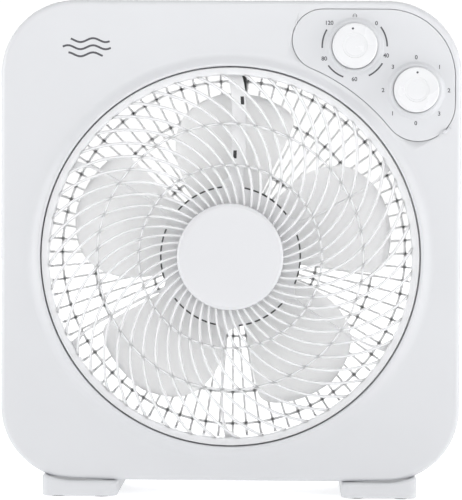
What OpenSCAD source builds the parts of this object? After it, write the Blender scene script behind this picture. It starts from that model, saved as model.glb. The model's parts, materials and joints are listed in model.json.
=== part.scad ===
// Box fan with a rotating louver grille, a fixed front spider, a five-blade impeller and a rear guard.
// X points right, Y points back and Z points up. The floor is Z = 0 and the fan axis runs along Y.

/* [Body] */
// Width of the housing
body_w = 402; // [398:1:420]
// Height of the housing without its feet
body_h = 420; // [416:1:440]
// Gap between the floor and the underside of the housing
foot_gap = 14.5; // [12:0.5:22]
// Radius of the housing's corners, seen from the front
corner_r = 65; // [60:1:70]
// Distance from the origin forward to the front face
front_y = 54; // [54:1:58]
// Distance from the origin back to the rear face
rear_y = 66; // [66:1:67]
// Wall of the moulded shells
wall = 2.5; // [2:0.1:3]
// Height of the fan axis above the floor
axis_z = 211; // [209:1:213]
// Radius of the round opening in the front face
duct_r = 166; // [165.8:0.1:166.4]

/* [Louver grille] */
// Number of curved spokes
spoke_count = 48; // [36:1:48]
// Radius of the centre cap
cap_r = 46.5; // [40:0.5:50]
// Inner radius of the louver's rim
louver_rim_in = 158.3; // [156:0.1:159]
// Outer radius of the louver's rim
louver_rim_out = 164.9; // [164:0.1:165]
// Width of a spoke
spoke_w = 2.6; // [2:0.1:2.8]

/* [Impeller] */
// Number of blades
blade_count = 5; // [3:1:6]
// Radius at the blade tips
blade_tip_r = 144; // [138:1:150]
// Radius of the hub
hub_r = 56; // [54:1:58]

/* [Rear guard] */
// Number of straight radial ribs
rib_count = 80; // [60:4:80]
// Radius of the guard's motor plate
plate_r = 61; // [56:1:64]

/* [Controls] */
// Radius of both knobs
knob_r = 19.6; // [18:0.2:19.6]
// Distance from the origin forward to the front of the knobs
knob_front_y = 68; // [66:1:68]

/* [Hidden] */
$fn = 96;
eps = 0.01;

// Heights below are measured along the fan axis towards the front, so the rear face is negative.
split_h = 14;
edge_front = 5;
edge_rear = 12;
body_mid = foot_gap + body_h / 2 - axis_z;
corner_x = body_w / 2 - corner_r;
corner_up = body_mid + body_h / 2 - corner_r;
corner_down = body_mid - body_h / 2 + corner_r;

// Screws: clearance holes, pilot holes and shanks
clear_r = 2.2;
pilot_r = 1.6;
shank_r = 1.5;
head_r = 3.8;
head_t = 2.2;

// Housing screws stand on the corner diagonals
post_reach = 44 * cos(45);
post_rib = 19.5;
post_r = 7;
post_seat_h = 2;
post_access_r = 4.6;

// Raised lip around the front opening and the seat behind it
lip_out = 179;
lip_round = 1.8;
lip_rise = 3.75;
lip_steps = 8;
lip_seat_h = 46;
boss_ring_r = 178;
boss_r = 5.5;

// Rear duct and the guard's recess
duct_rear_r = 168.2;
duct_front_h = 43;
recess_r = 176.4;
recess_h = 3;
seat_out = 181;
seat_h = 9;
guard_screw_r = 172;
guard_count = 6;

// Carry grip in the top of the rear shell
grip_w = 110;
grip_low = 184.5;
grip_high = 206.5;
grip_depth = 28;

// Spider behind the louver
spider_in = 160;
spider_out = 172;
spider_t = 3;
arm_count = 6;
arm_w = 2.2;
arm_back = 32;
arm_front = 44;
arm_in = 60.5;
arm_bow = 6.9;
arm_bow_mid = 111.5;
arm_bow_half = 52.7;
channel_w = 12.7;
channel_cover = 2;
clip_len = 7;
clip_w = 3;
clip_radii = [136.6, 89.4];
cup_r = 61.5;
cup_wall = 2.2;
cup_back = 28;
ear_r = 6;

// Louver: depth of its rim, spokes, rings and centre
rim_back = 47;
rim_front = 57;
spoke_back = 50;
spoke_front = 56;
ring_radii = [80, 116.2];
ring_w = 2.2;
sweep_linear = 35;
sweep_square = 12.6;
spoke_steps = 9;
hub_back = 45;
hub_plate = 3;
louver_shaft_r = 3.5;
louver_boss_r = 9;

// Louver motor inside the spider's cup
louver_motor_r = 24.5;
louver_motor_back = 28.8;
louver_ear = 29;
fit = 0.04;

// Impeller blades
blade_root_r = 54.5;
blade_free_r = 66;
blade_t = 2.2;
blade_low = 64.5;
blade_high = 123;
tip_low = 15.5;
tip_square = 18.5;
tip_round = 12;
root_rise = 34;
tip_rise = 22;
blade_mid_h = 1;
camber = 2.5;
blade_rows = 12;
blade_cols = 9;
impeller_front = 20;
impeller_back = -18;
hub_wall = 3;

// Main motor
shaft_r = 4;
shaft_front = 26.5;
shaft_back = -46;
bell_r = 42;
bell_wall = 2;
stator_r = 39.8;
stator_bore = 22.4;
rotor_r = 22;
stator_front = -18;
stator_back = -38;
bell_front = -8;
bell_back = -50;
bell_lap = 4;
bearing_r = 8;
bearing_len = 10;
boss_out = 11;
motor_hole_r = 33;
motor_hole_count = 4;

// Rear guard
guard_front = -58;
guard_rim_in = 168.4;
guard_web_out = 167.6;
guard_rings = [77.1, 128.6, 157.8];
rib_w = 2.4;
guard_ring_w = 2.6;
guard_rim_out = 176;

// Control panel outline, measured from the fan axis
panel_left = 53.2;
panel_top = 215.8;
panel_right = 194.9;
panel_bottom = 101.5;
panel_ring_r = 178.7;
panel_corner_r = 59.4;
panel_gap = 0.35;
panel_t = 2.4;
panel_flange = 2;
flange_back = front_y - wall - 2.3;
timer_at = [107.3, 183.6];
speed_at = [160.8, 145.8];
collar_out = 23.9;
collar_gap = 0.4;
collar_h = 3.5;
control_shaft_r = 3;
case_back = 27;

// Feet
foot_in = 98;
foot_out = 164;
foot_front = -58;
foot_rear = 68;
foot_round = 7;
foot_low = 1;
foot_top = 26;
foot_wall = 3;
foot_block = 22;
foot_screw_y = [-46, 54];
foot_mid = (foot_in + foot_out) / 2;

// Motor lead, from behind the motor out through the duct wall
lead_x = 9;
lead_h = -54;
lead_r = 2.5;
lead_in = 38;
lead_out = 176;

// Cord gland and capacitor
gland_at = [158, -140];
gland_bore_r = 4.2;
gland_r = 7;
capacitor_at = [-160, -128];

// ---- helpers ----

// Turns a shape drawn flat into one that faces the front, centred on the fan axis
module on_axis() {
    translate([0, 0, axis_z]) rotate([90, 0, 0]) children();
}

// The same, moved sideways to a point given from the fan axis
module facing(at) {
    on_axis() translate([at[0], at[1], 0]) children();
}

module disc(r, low, high) {
    translate([0, 0, low]) cylinder(r = r, h = high - low);
}

module ring(r_in, r_out, low, high) {
    rotate_extrude($fn = 180) translate([r_in, low]) square([r_out - r_in, high - low]);
}

module polar(count, radius, start = 0) {
    for (i = [0 : count - 1]) rotate([0, 0, start + i * 360 / count]) translate([radius, 0, 0]) children();
}

module slab(x, y, low, high) {
    translate([-x / 2, -y / 2, low]) cube([x, y, high - low]);
}

// A screw whose head rests on its seat at low, or at high when the head faces the front
module screw(low, high, head_at_low = true) {
    disc(shank_r, head_at_low ? low - 1 : low, head_at_low ? high : high + 1);
    if (head_at_low) disc(head_r, low - head_t, low);
    else disc(head_r, high, high + head_t);
}

// Points along an arc from angle a0 to angle a1
function arc(c, r, a0, a1, steps) = [
    for (i = [0 : steps]) let (a = a0 + (a1 - a0) * i / steps) [c[0] + r * cos(a), c[1] + r * sin(a)]
];

// A rounded edge of the corner profile, or a plain point when the edge is square
function edge_arc(r, h, rounding, a0, a1) =
    rounding > 0 ? arc([r - rounding, h], rounding, a0, a1, 4) : [[r, h]];

// One corner of the shell, turned from a profile with rounded front and rear edges
module corner_post(r, low, high, round_low, round_high) {
    rotate_extrude($fn = 48) polygon(concat(
        [[0, low]],
        edge_arc(r, low + round_low, round_low, -90, 0),
        edge_arc(r, high - round_high, round_high, 0, 90),
        [[0, high]]
    ));
}

// The shell's outer form, or its cavity when inset is the wall
module shell_block(low, high, inset, round_low, round_high) {
    hull() {
        for (x = [-corner_x, corner_x]) {
            for (y = [corner_down, corner_up]) {
                translate([x, y, 0]) corner_post(corner_r - inset, low, high, round_low, round_high);
            }
        }
    }
}

// The housing's outline from the front, grown all round
module body_outline(grow) {
    for (x = [-corner_x, corner_x]) {
        for (y = [corner_down, corner_up]) {
            translate([x, y]) circle(r = corner_r + grow);
        }
    }
    translate([-corner_x, corner_down - corner_r - grow])
        square([2 * corner_x, corner_up - corner_down + 2 * (corner_r + grow)]);
    translate([-corner_x - corner_r - grow, corner_down])
        square([2 * (corner_x + corner_r + grow), corner_up - corner_down]);
}

module posts() {
    reach = [corner_x + post_reach, corner_up + post_reach, corner_down - post_reach];
    for (x = [-reach[0], reach[0]]) {
        for (y = [reach[1], reach[2]]) {
            translate([x, y, 0]) children();
        }
    }
}

// Ribs that tie the posts to the corners of the shell
module post_ribs(low, high) {
    reach = [corner_x + post_reach, corner_up + post_reach, corner_down - post_reach];
    for (x = [-1, 1]) {
        translate([x * reach[0], reach[1], low]) rotate([0, 0, 90 - x * 45]) post_rib(high - low);
        translate([x * reach[0], reach[2], low]) rotate([0, 0, -90 + x * 45]) post_rib(high - low);
    }
}

module post_rib(h) {
    translate([0, -1.5, 0]) cube([post_rib, 3, h]);
}

// Radius of the arc that touches two straight edges of the panel and the ring around the fan
function end_radius(far, near, ring_r) =
    let (b = far + ring_r - near, c = far * far + near * near - ring_r * ring_r) b - sqrt(b * b - c);

function panel_points(grow) =
    let (
        ring_r = panel_ring_r - grow,
        top = panel_top + grow,
        right = panel_right + grow,
        left = panel_left - grow,
        bottom = panel_bottom - grow,
        corner = panel_corner_r + grow,
        r_low = end_radius(right, bottom, ring_r),
        r_high = end_radius(top, left, ring_r),
        low = [right - r_low, bottom + r_low],
        high = [left + r_high, top - r_high],
        a_low = atan2(low[1], low[0]),
        a_high = atan2(high[1], high[0])
    ) concat(
        arc(low, r_low, a_low + 180, 360, 18),
        arc([right - corner, top - corner], corner, 0, 90, 16),
        arc(high, r_high, 90, a_high + 180, 18),
        arc([0, 0], ring_r, a_high, a_low, 16)
    );

module panel_plate(grow, low, high) {
    translate([0, 0, low]) linear_extrude(high - low) polygon(panel_points(grow));
}

// Sideways bow of a spider arm at radius r
function bow(r) = arm_bow * (1 - pow((r - arm_bow_mid) / arm_bow_half, 4));

module bowed_bar(r0, r1, shift, width, low, high) {
    steps = 12;
    side_a = [for (i = [0 : steps]) let (r = r0 + (r1 - r0) * i / steps) [r, shift - bow(r) - width / 2]];
    side_b = [for (i = [steps : -1 : 0]) let (r = r0 + (r1 - r0) * i / steps) [r, shift - bow(r) + width / 2]];
    translate([0, 0, low]) linear_extrude(high - low) polygon(concat(side_a, side_b));
}

// Sweep of a louver spoke at radius r
function spoke_sweep(r) =
    let (u = (r - cap_r) / (louver_rim_in - cap_r)) sweep_linear * u + sweep_square * u * u;

function spoke_side(side) = [
    for (i = [0 : spoke_steps])
        let (
            r = cap_r - 1 + (louver_rim_in - cap_r + 2) * i / spoke_steps,
            a = spoke_sweep(r) + side * spoke_w / 2 / r * 180 / PI / cos(spoke_slope(r))
        ) [r * cos(a), r * sin(a)]
];

// Angle between a spoke and the radius it crosses
function spoke_slope(r) =
    let (
        span = louver_rim_in - cap_r,
        u = (r - cap_r) / span
    ) atan(r * (sweep_linear + 2 * sweep_square * u) / span * PI / 180);

function reversed(list) = [for (i = [len(list) - 1 : -1 : 0]) list[i]];

// ---- housing ----

module front_housing() {
    color("whitesmoke") on_axis() difference() {
        union() {
            difference() {
                shell_block(split_h, front_y, 0, 0, edge_front);
                shell_block(split_h - 1, front_y - wall, wall, 0, edge_front - wall);
            }
            lip();
            polar(arm_count, boss_ring_r) disc(boss_r, lip_seat_h, front_y - wall + eps);
            posts() disc(post_r, split_h, 46);
            post_ribs(split_h, 46);
            foot_bosses(front_housing_side = true);
        }
        disc(duct_r, split_h - 1, front_y + 10, $fn = 180);
        panel_plate(panel_gap, front_y - wall - 0.1, front_y + 5);
        polar(arm_count, boss_ring_r) disc(pilot_r, lip_seat_h - 1, front_y - 3.5);
        posts() disc(pilot_r, split_h - 1, 40);
        foot_pilots();
    }
}

// Raised ring around the opening, with the wall that the spider seats on
module lip() {
    low = front_y - wall;
    crest_r = duct_r + lip_round;
    edge = arc([crest_r, front_y + lip_rise - lip_round], lip_round, 180, 90, 5);
    slope = [
        for (i = [1 : lip_steps]) let (u = i / lip_steps)
            [crest_r + (lip_out - crest_r) * u, front_y + lip_rise * pow(1 - pow(u, 1.5), 2.5)]
    ];
    rotate_extrude($fn = 180) polygon(concat(
        [[lip_out + 1, low], [duct_r + wall, low], [duct_r + wall, lip_seat_h], [duct_r, lip_seat_h]],
        edge, slope, [[lip_out + 1, front_y]]
    ));
}

module foot_bosses(front_housing_side) {
    y = front_housing_side ? foot_screw_y[0] : foot_screw_y[1];
    for (x = [-foot_mid, foot_mid]) {
        translate([x, foot_gap - axis_z + 1, -y]) rotate([-90, 0, 0]) cylinder(r = 5, h = 12);
    }
}

module foot_pilots() {
    for (x = [-foot_mid, foot_mid]) {
        for (y = foot_screw_y) {
            translate([x, foot_gap - axis_z - 1, -y]) rotate([-90, 0, 0]) cylinder(r = pilot_r, h = 12);
        }
    }
}

module rear_housing() {
    color("gainsboro") on_axis() difference() {
        union() {
            difference() {
                shell_block(-rear_y, split_h, 0, edge_rear, 0);
                shell_block(-rear_y + wall, split_h + 1, wall, edge_rear - wall, 0);
            }
            ring(duct_rear_r, duct_rear_r + wall, -rear_y + seat_h, duct_front_h);
            ring(duct_rear_r, seat_out, -rear_y, -rear_y + seat_h);
            polar(guard_count, guard_screw_r, 30) disc(4.5, -rear_y + recess_h, -45);
            posts() disc(post_r, -rear_y + 1, split_h);
            post_ribs(-50, split_h);
            translate([0, (grip_low + grip_high) / 2, 0])
                slab(grip_w + 2 * wall, grip_high - grip_low + 2 * wall, -rear_y + 1, -rear_y + grip_depth + wall);
            foot_bosses(front_housing_side = false);
        }
        disc(duct_rear_r, -rear_y - 1, split_h + 40, $fn = 180);
        disc(recess_r, -rear_y - 1, -rear_y + recess_h, $fn = 180);
        polar(guard_count, guard_screw_r, 30) disc(pilot_r, -rear_y, -48);
        posts() disc(post_access_r, -rear_y - 1, post_seat_h);
        posts() disc(clear_r, -rear_y, split_h + 1);
        translate([0, (grip_low + grip_high) / 2, 0])
            slab(grip_w, grip_high - grip_low, -rear_y - 1, -rear_y + grip_depth);
        translate([gland_at[0], gland_at[1], 0]) disc(gland_r + 0.2, -rear_y - 1, -rear_y + 5);
        translate([0, duct_rear_r, 0]) slab(14, 12, arm_back - 1, duct_front_h + 1);
        translate([lead_x, duct_rear_r - 3, lead_h]) rotate([-90, 0, 0]) cylinder(r = 3.2, h = 14);
        foot_pilots();
    }
}

module rear_guard() {
    color("whitesmoke") on_axis() difference() {
        union() {
            ring(guard_rim_in, guard_rim_out, -rear_y, -rear_y + recess_h);
            guard_slab(guard_front) guard_hoops();
            guard_slab(guard_front) guard_ribs(guard_web_out);
            guard_slab(-rear_y + recess_h) guard_ribs(guard_rim_in + 1);
            disc(plate_r, -rear_y + 1, guard_front);
            polar(motor_hole_count, motor_hole_r, 45) disc(5.5, guard_front - eps, bell_back);
        }
        polar(guard_count, guard_screw_r, 30) {
            disc(clear_r, -rear_y - 1, -rear_y + recess_h + 1);
            disc(4.2, -rear_y - 1, -rear_y + 1.5);
        }
        polar(motor_hole_count, motor_hole_r, 45) {
            disc(clear_r, -rear_y - 1, bell_back + 1);
            disc(4.2, -rear_y - 1, guard_front - 3);
        }
    }
}

// A flat shape of the guard, from just inside the rear face forward to a height
module guard_slab(front) {
    translate([0, 0, -rear_y + 1]) linear_extrude(front + rear_y - 1) children();
}

module guard_hoops() {
    for (r = guard_rings) {
        difference() {
            circle(r = r + guard_ring_w / 2, $fn = 160);
            circle(r = r - guard_ring_w / 2, $fn = 160);
        }
    }
}

module guard_ribs(reach) {
    for (i = [0 : rib_count - 1]) {
        rotate(i * 360 / rib_count) translate([plate_r - 1, -rib_w / 2]) square([reach - plate_r + 1, rib_w]);
    }
}

// ---- front spider ----

module front_spider() {
    color("gainsboro") on_axis() difference() {
        union() {
            ring(spider_in, spider_out, duct_front_h, duct_front_h + spider_t);
            polar(arm_count, boss_ring_r) spider_ear();
            ring(cup_r - cup_wall, cup_r, cup_back, arm_front);
            disc(cup_r - 0.5, arm_front - cup_wall, arm_front);
            for (i = [0 : arm_count - 1]) {
                if (i == 1) rotate([0, 0, 90]) wire_channel();
                else rotate([0, 0, 30 + i * 60]) spider_arm();
            }
        }
        polar(arm_count, boss_ring_r) disc(clear_r, duct_front_h - 1, duct_front_h + spider_t + 1);
        disc(5, arm_front - cup_wall - 1, arm_front + 1);
        polar(2, louver_ear) disc(clear_r, arm_front - cup_wall - 1, arm_front + 1);
    }
}

module spider_ear() {
    translate([0, 0, duct_front_h]) linear_extrude(spider_t) union() {
        circle(r = ear_r);
        translate([-9, -ear_r]) square([9, 2 * ear_r]);
    }
}

// Flat web that widens an arm where it meets the cup or the ring
module arm_foot(r0, r1, w0, w1) {
    translate([0, 0, arm_front - 2]) linear_extrude(2)
        polygon([[r0, -w0 / 2], [r1, -w1 / 2], [r1, w1 / 2], [r0, w0 / 2]]);
}

module spider_arm() {
    bowed_bar(arm_in, spider_in + 1, 0, arm_w, arm_back, arm_front);
    arm_foot(spider_in - 6.5, spider_in + 1, 6, 18);
    arm_foot(cup_r - 1, cup_r + 6, 20, 8);
}

module wire_channel() {
    side = (channel_w - arm_w) / 2;
    difference() {
        union() {
            bowed_bar(arm_in, spider_in + 1, side, arm_w, arm_back, arm_front);
            bowed_bar(arm_in, spider_in + 1, -side, arm_w, arm_back, arm_front);
            bowed_bar(arm_in, spider_in + 1, 0, channel_w - 1, arm_front - channel_cover, arm_front);
        }
        clip_slots(0.2);
    }
}

module louver_lead() {
    color("dimgray") on_axis() rotate([0, 0, 90])
        bowed_bar(cup_r + 1, 166, 0, 4, arm_front - channel_cover - 2.5, arm_front - channel_cover - 0.5);
}

// Slots in the channel's cover, one near each side
module clip_slots(grow) {
    for (i = [0, 1]) {
        shift = (i == 0 ? -1 : 1) * 3.2;
        bowed_bar(clip_radii[i] - clip_len / 2 - grow, clip_radii[i] + clip_len / 2 + grow, shift,
            clip_w + 2 * grow, arm_front - channel_cover - grow, arm_front + grow);
    }
}

module wire_clips() {
    color("dimgray") on_axis() rotate([0, 0, 90]) clip_slots(0);
}

// ---- controls ----

module control_panel() {
    color("white") on_axis() difference() {
        union() {
            panel_plate(0, front_y - panel_t, front_y);
            difference() {
                union() {
                    panel_plate(panel_flange, flange_back, front_y - wall - 0.3);
                    panel_plate(0, flange_back, front_y - 1);
                }
                panel_plate(-3, flange_back - 1, front_y - panel_t);
                polar(1, boss_ring_r, 60) disc(boss_r + 0.6, flange_back - 1, front_y - wall + 0.05);
            }
            for (at = [timer_at, speed_at]) {
                translate([at[0], at[1], 0]) ring(knob_r + collar_gap, collar_out, front_y - 1, front_y + collar_h);
            }
        }
        for (at = [timer_at, speed_at]) {
            translate([at[0], at[1], 0]) disc(control_shaft_r + 1, front_y - 10, front_y + 1);
        }
    }
}

// Square switch body with a bored bush for its shaft
module switch_case(at, side) {
    facing(at) difference() {
        slab(side, side, case_back, front_y - panel_t);
        disc(control_shaft_r + fit, case_back + 6, front_y);
    }
}

module timer_case() {
    color("dimgray") switch_case(timer_at, 40);
}

module speed_switch_case() {
    color("dimgray") switch_case(speed_at, 36);
}

module control_shaft(at) {
    facing(at) disc(control_shaft_r, case_back + 6.5, knob_front_y - 5);
}

module timer_shaft() {
    color("silver") control_shaft(timer_at);
}

module speed_shaft() {
    color("silver") control_shaft(speed_at);
}

// Hollow knob with a rounded rim, a shallow dished face and a bored stem
module knob(at) {
    base = front_y + 1;
    facing(at) rotate_extrude($fn = 96) polygon(concat(
        [[control_shaft_r, base], [6, base], [6, knob_front_y - 4], [knob_r - 2, knob_front_y - 4]],
        [[knob_r - 2, base], [knob_r, base]],
        arc([knob_r - 1.5, knob_front_y - 1.5], 1.5, 0, 90, 5),
        [[10.8, knob_front_y], [8.7, knob_front_y - 0.8], [0, knob_front_y - 0.8]],
        [[0, knob_front_y - 5], [control_shaft_r, knob_front_y - 5]]
    ));
}

module timer_knob() {
    color("white") knob(timer_at);
}

module speed_knob() {
    color("white") knob(speed_at);
}

// ---- louver ----

module louver_grille() {
    color("whitesmoke") on_axis() difference() {
        union() {
            ring(louver_rim_in, louver_rim_out, rim_back, rim_front);
            translate([0, 0, spoke_back]) linear_extrude(spoke_front - spoke_back) louver_web();
            disc(cap_r - 0.6, spoke_back, spoke_back + hub_plate);
            disc(louver_boss_r, hub_back, spoke_back + hub_plate);
        }
        disc(louver_shaft_r + fit, hub_back - 1, spoke_back + hub_plate + 1);
    }
}

module louver_web() {
    for (r = concat(ring_radii, [cap_r - ring_w / 2])) {
        difference() {
            circle(r = r + ring_w / 2, $fn = 160);
            circle(r = r - ring_w / 2, $fn = 160);
        }
    }
    for (i = [0 : spoke_count - 1]) {
        rotate(i * 360 / spoke_count) polygon(concat(spoke_side(-1), reversed(spoke_side(1))));
    }
}

module louver_cap() {
    low = spoke_front;
    top = 60.5;
    color("whitesmoke") on_axis() rotate_extrude($fn = 160) polygon([
        [0, top - 2], [cap_r - 4, top - 2], [cap_r - 4, spoke_back + hub_plate],
        [cap_r - 2.5, spoke_back + hub_plate], [cap_r - 2.5, low], [cap_r, low],
        [cap_r, top - 2], [cap_r - 2, top - 0.6], [cap_r - 5, top - 0.2], [0, top]
    ]);
}

module louver_screw() {
    color("silver") on_axis() {
        disc(shank_r, 45, spoke_back + hub_plate);
        disc(5, spoke_back + hub_plate, spoke_back + hub_plate + 2);
    }
}

module louver_motor_shaft() {
    color("silver") on_axis() difference() {
        disc(louver_shaft_r, 32, spoke_back + hub_plate);
        disc(pilot_r, 44, spoke_back + hub_plate + 1);
    }
}

module louver_motor() {
    top = arm_front - cup_wall;
    color("silver") on_axis() difference() {
        union() {
            disc(louver_motor_r, louver_motor_back, top);
            slab(2 * (louver_ear + 5), 10, top - 1.5, top);
        }
        disc(louver_shaft_r + fit, louver_motor_back + 3, top + 1);
        polar(2, louver_ear) disc(pilot_r, top - 3, top + 1);
    }
}

module louver_motor_screws() {
    color("silver") on_axis() polar(2, louver_ear) screw(38.5, arm_front, head_at_low = false);
}

// ---- impeller ----

// Angles of a blade's two edges at station s, from 0 at the free root to 1 at the tip
function edge_low(s) = blade_low + tip_low * pow(s, 16);
function edge_high(s) = blade_high - tip_square * s * s - tip_round * pow(s, 12);
function blade_rise(s) = root_rise + (tip_rise - root_rise) * s;

// Radial stations run closer together towards the rounded tip
function station(i) = let (u = i / blade_rows) 1 - pow(1 - u, 1.7);

// A point on the blade: s along the radius, c across the chord, side picks the face
function blade_point(s, c, side) =
    let (
        free = max(0, (blade_root_r + (blade_tip_r - blade_root_r) * s - blade_free_r) / (blade_tip_r - blade_free_r)),
        r = blade_root_r + (blade_tip_r - blade_root_r) * s,
        a = edge_low(free) + (edge_high(free) - edge_low(free)) * c,
        h = blade_mid_h + blade_rise(free) * (c - 0.5) + camber * sin(180 * c) + side * blade_t / 2
    ) [r * cos(a), r * sin(a), h];

module blade() {
    n = blade_cols + 1;
    half = (blade_rows + 1) * n;
    points = [
        for (side = [-1, 1])
            for (i = [0 : blade_rows])
                for (j = [0 : blade_cols]) blade_point(station(i), j / blade_cols, side)
    ];
    lower = [for (i = [0 : blade_rows - 1]) for (j = [0 : blade_cols - 1])
        each [[i * n + j, (i + 1) * n + j + 1, i * n + j + 1], [i * n + j, (i + 1) * n + j, (i + 1) * n + j + 1]]];
    upper = [for (f = lower) [f[0] + half, f[2] + half, f[1] + half]];
    rim = concat(
        [for (j = [0 : blade_cols - 1]) [j, j + 1]],
        [for (i = [0 : blade_rows - 1]) [i * n + blade_cols, (i + 1) * n + blade_cols]],
        [for (j = [blade_cols - 1 : -1 : 0]) [blade_rows * n + j + 1, blade_rows * n + j]],
        [for (i = [blade_rows - 1 : -1 : 0]) [(i + 1) * n, i * n]]
    );
    sides = [for (e = rim) each [[e[0], e[1], e[0] + half], [e[1], e[1] + half, e[0] + half]]];
    polyhedron(points = points, faces = concat(lower, upper, sides));
}

module impeller() {
    color("lightgray") on_axis() difference() {
        union() {
            ring(hub_r - hub_wall, hub_r, impeller_back, impeller_front);
            disc(hub_r - 1, impeller_front - hub_wall, impeller_front);
            disc(9, -4, impeller_front);
            for (i = [0 : blade_count - 1]) rotate([0, 0, i * 360 / blade_count]) blade();
        }
        disc(shaft_r, -5, impeller_front + 1);
    }
}

module impeller_nut() {
    color("silver") on_axis() difference() {
        translate([0, 0, impeller_front]) cylinder(r = 7.5, h = 5, $fn = 6);
        disc(shaft_r, impeller_front - 1, impeller_front + 6);
    }
}

module motor_shaft() {
    color("silver") on_axis() disc(shaft_r, shaft_back, shaft_front);
}

module rotor() {
    color("slategray") on_axis() ring(shaft_r, rotor_r, stator_back + 1, stator_front - 1);
}

// ---- motor ----

module motor_stator() {
    color("slategray") on_axis() ring(stator_bore, stator_r, stator_back, stator_front);
}

module motor_windings() {
    color("peru") on_axis() {
        ring(24, 36, stator_front, stator_front + 4);
        ring(24, 36, stator_back - 4, stator_back);
    }
}

// End bell: cover disc, skirt over the stator and a bored seat for the bearing
module end_bell() {
    rotate_extrude($fn = 120) polygon([
        [bearing_r, 0], [bell_r - 1.5, 0], [bell_r, 1.5], [bell_r, 10 + bell_lap],
        [bell_r - bell_wall, 10 + bell_lap], [bell_r - bell_wall, 2.5], [boss_out, 2.5],
        [boss_out, bearing_len - 1.5], [bearing_r, bearing_len - 1.5]
    ]);
}

module motor_front_bell() {
    color("silver") on_axis() translate([0, 0, bell_front]) mirror([0, 0, 1]) end_bell();
}

module motor_rear_bell() {
    color("silver") on_axis() difference() {
        translate([0, 0, bell_back]) union() {
            end_bell();
            polar(motor_hole_count, motor_hole_r, 45) disc(3.5, 1, 7);
        }
        polar(motor_hole_count, motor_hole_r, 45) disc(pilot_r, bell_back - 1, bell_back + 6);
    }
}

module front_bearing() {
    color("peru") on_axis() ring(shaft_r + fit, bearing_r, bell_front - bearing_len + 1.5, bell_front);
}

module rear_bearing() {
    color("peru") on_axis() ring(shaft_r + fit, bearing_r, bell_back, bell_back + bearing_len - 1.5);
}

module motor_capacitor() {
    color("dimgray") facing(capacitor_at) slab(42, 26, -rear_y + wall, -rear_y + wall + 30);
}

module motor_lead() {
    color("dimgray") on_axis() translate([lead_x, lead_in, lead_h]) rotate([-90, 0, 0])
        cylinder(r = lead_r, h = lead_out - lead_in);
}

module motor_screws() {
    color("silver") on_axis() polar(motor_hole_count, motor_hole_r, 45) screw(guard_front - 3, bell_back + 5);
}

// ---- cord gland ----

module cord_gland() {
    color("dimgray") facing(gland_at) difference() {
        union() {
            disc(gland_r, -rear_y - 1.5, -rear_y + 10);
            disc(gland_r + 3, -rear_y - 1.5, -rear_y);
            disc(gland_r + 2, -rear_y + wall, -rear_y + wall + 2.5);
        }
        disc(gland_bore_r, -rear_y - 3, -rear_y + 12);
    }
}

// ---- feet ----

module foot_plan() {
    w = foot_out - foot_in;
    d = foot_rear - foot_front;
    translate([foot_in + foot_round, foot_front]) square([w - 2 * foot_round, d]);
    translate([foot_in, foot_front + foot_round]) square([w, d - 2 * foot_round]);
    for (x = [foot_in + foot_round, foot_out - foot_round]) {
        for (y = [foot_front + foot_round, foot_rear - foot_round]) {
            translate([x, y]) circle(r = foot_round);
        }
    }
}

module foot() {
    pocket = foot_rear - foot_front - 2 * foot_block;
    color("whitesmoke") difference() {
        translate([0, 0, foot_low]) linear_extrude(foot_top - foot_low) foot_plan();
        on_axis() translate([0, 0, -90]) linear_extrude(180) body_outline(0.3);
        translate([foot_in + foot_wall, foot_front + foot_block, foot_low - 1])
            cube([foot_out - foot_in - 2 * foot_wall, pocket, foot_gap - foot_low - foot_wall + 1]);
        for (y = foot_screw_y) {
            translate([foot_mid, y, 0]) cylinder(r = clear_r, h = foot_top);
            translate([foot_mid, y, 0]) cylinder(r = 4.6, h = foot_low + 4.5);
        }
    }
}

module foot_right() {
    foot();
}

module foot_left() {
    mirror([1, 0, 0]) foot();
}

module foot_pads() {
    color("dimgray") for (side = [-1, 1]) {
        for (x = [-19, 19]) {
            for (y = foot_screw_y) {
                translate([side * foot_mid + x, y, 0]) cylinder(r = 7, h = foot_low);
            }
        }
    }
}

module foot_screws() {
    color("silver") for (x = [-foot_mid, foot_mid]) {
        for (y = foot_screw_y) translate([x, y, 0]) screw(foot_low + 4.5, foot_gap + 9);
    }
}

// ---- other fasteners ----

module housing_screws() {
    color("silver") on_axis() posts() screw(post_seat_h, 36);
}

module spider_screws() {
    color("silver") on_axis() polar(arm_count, boss_ring_r) screw(duct_front_h, front_y - 4);
}

module guard_screws() {
    color("silver") on_axis() polar(guard_count, guard_screw_r, 30) screw(-rear_y + 1.5, -49);
}

front_housing();
rear_housing();
rear_guard();
front_spider();
control_panel();
timer_case();
timer_shaft();
timer_knob();
speed_switch_case();
speed_shaft();
speed_knob();
louver_grille();
louver_cap();
louver_screw();
louver_motor();
louver_motor_shaft();
impeller();
impeller_nut();
motor_shaft();
rotor();
motor_stator();
motor_windings();
motor_front_bell();
motor_rear_bell();
front_bearing();
rear_bearing();
motor_capacitor();
foot_left();
foot_right();
foot_pads();
foot_screws();
housing_screws();
spider_screws();
guard_screws();
motor_screws();
louver_motor_screws();
cord_gland();
motor_lead();
louver_lead();
wire_clips();
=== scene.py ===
"""A box fan with a turning louver grille, laid out as an add-on and run as a script."""

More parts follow.
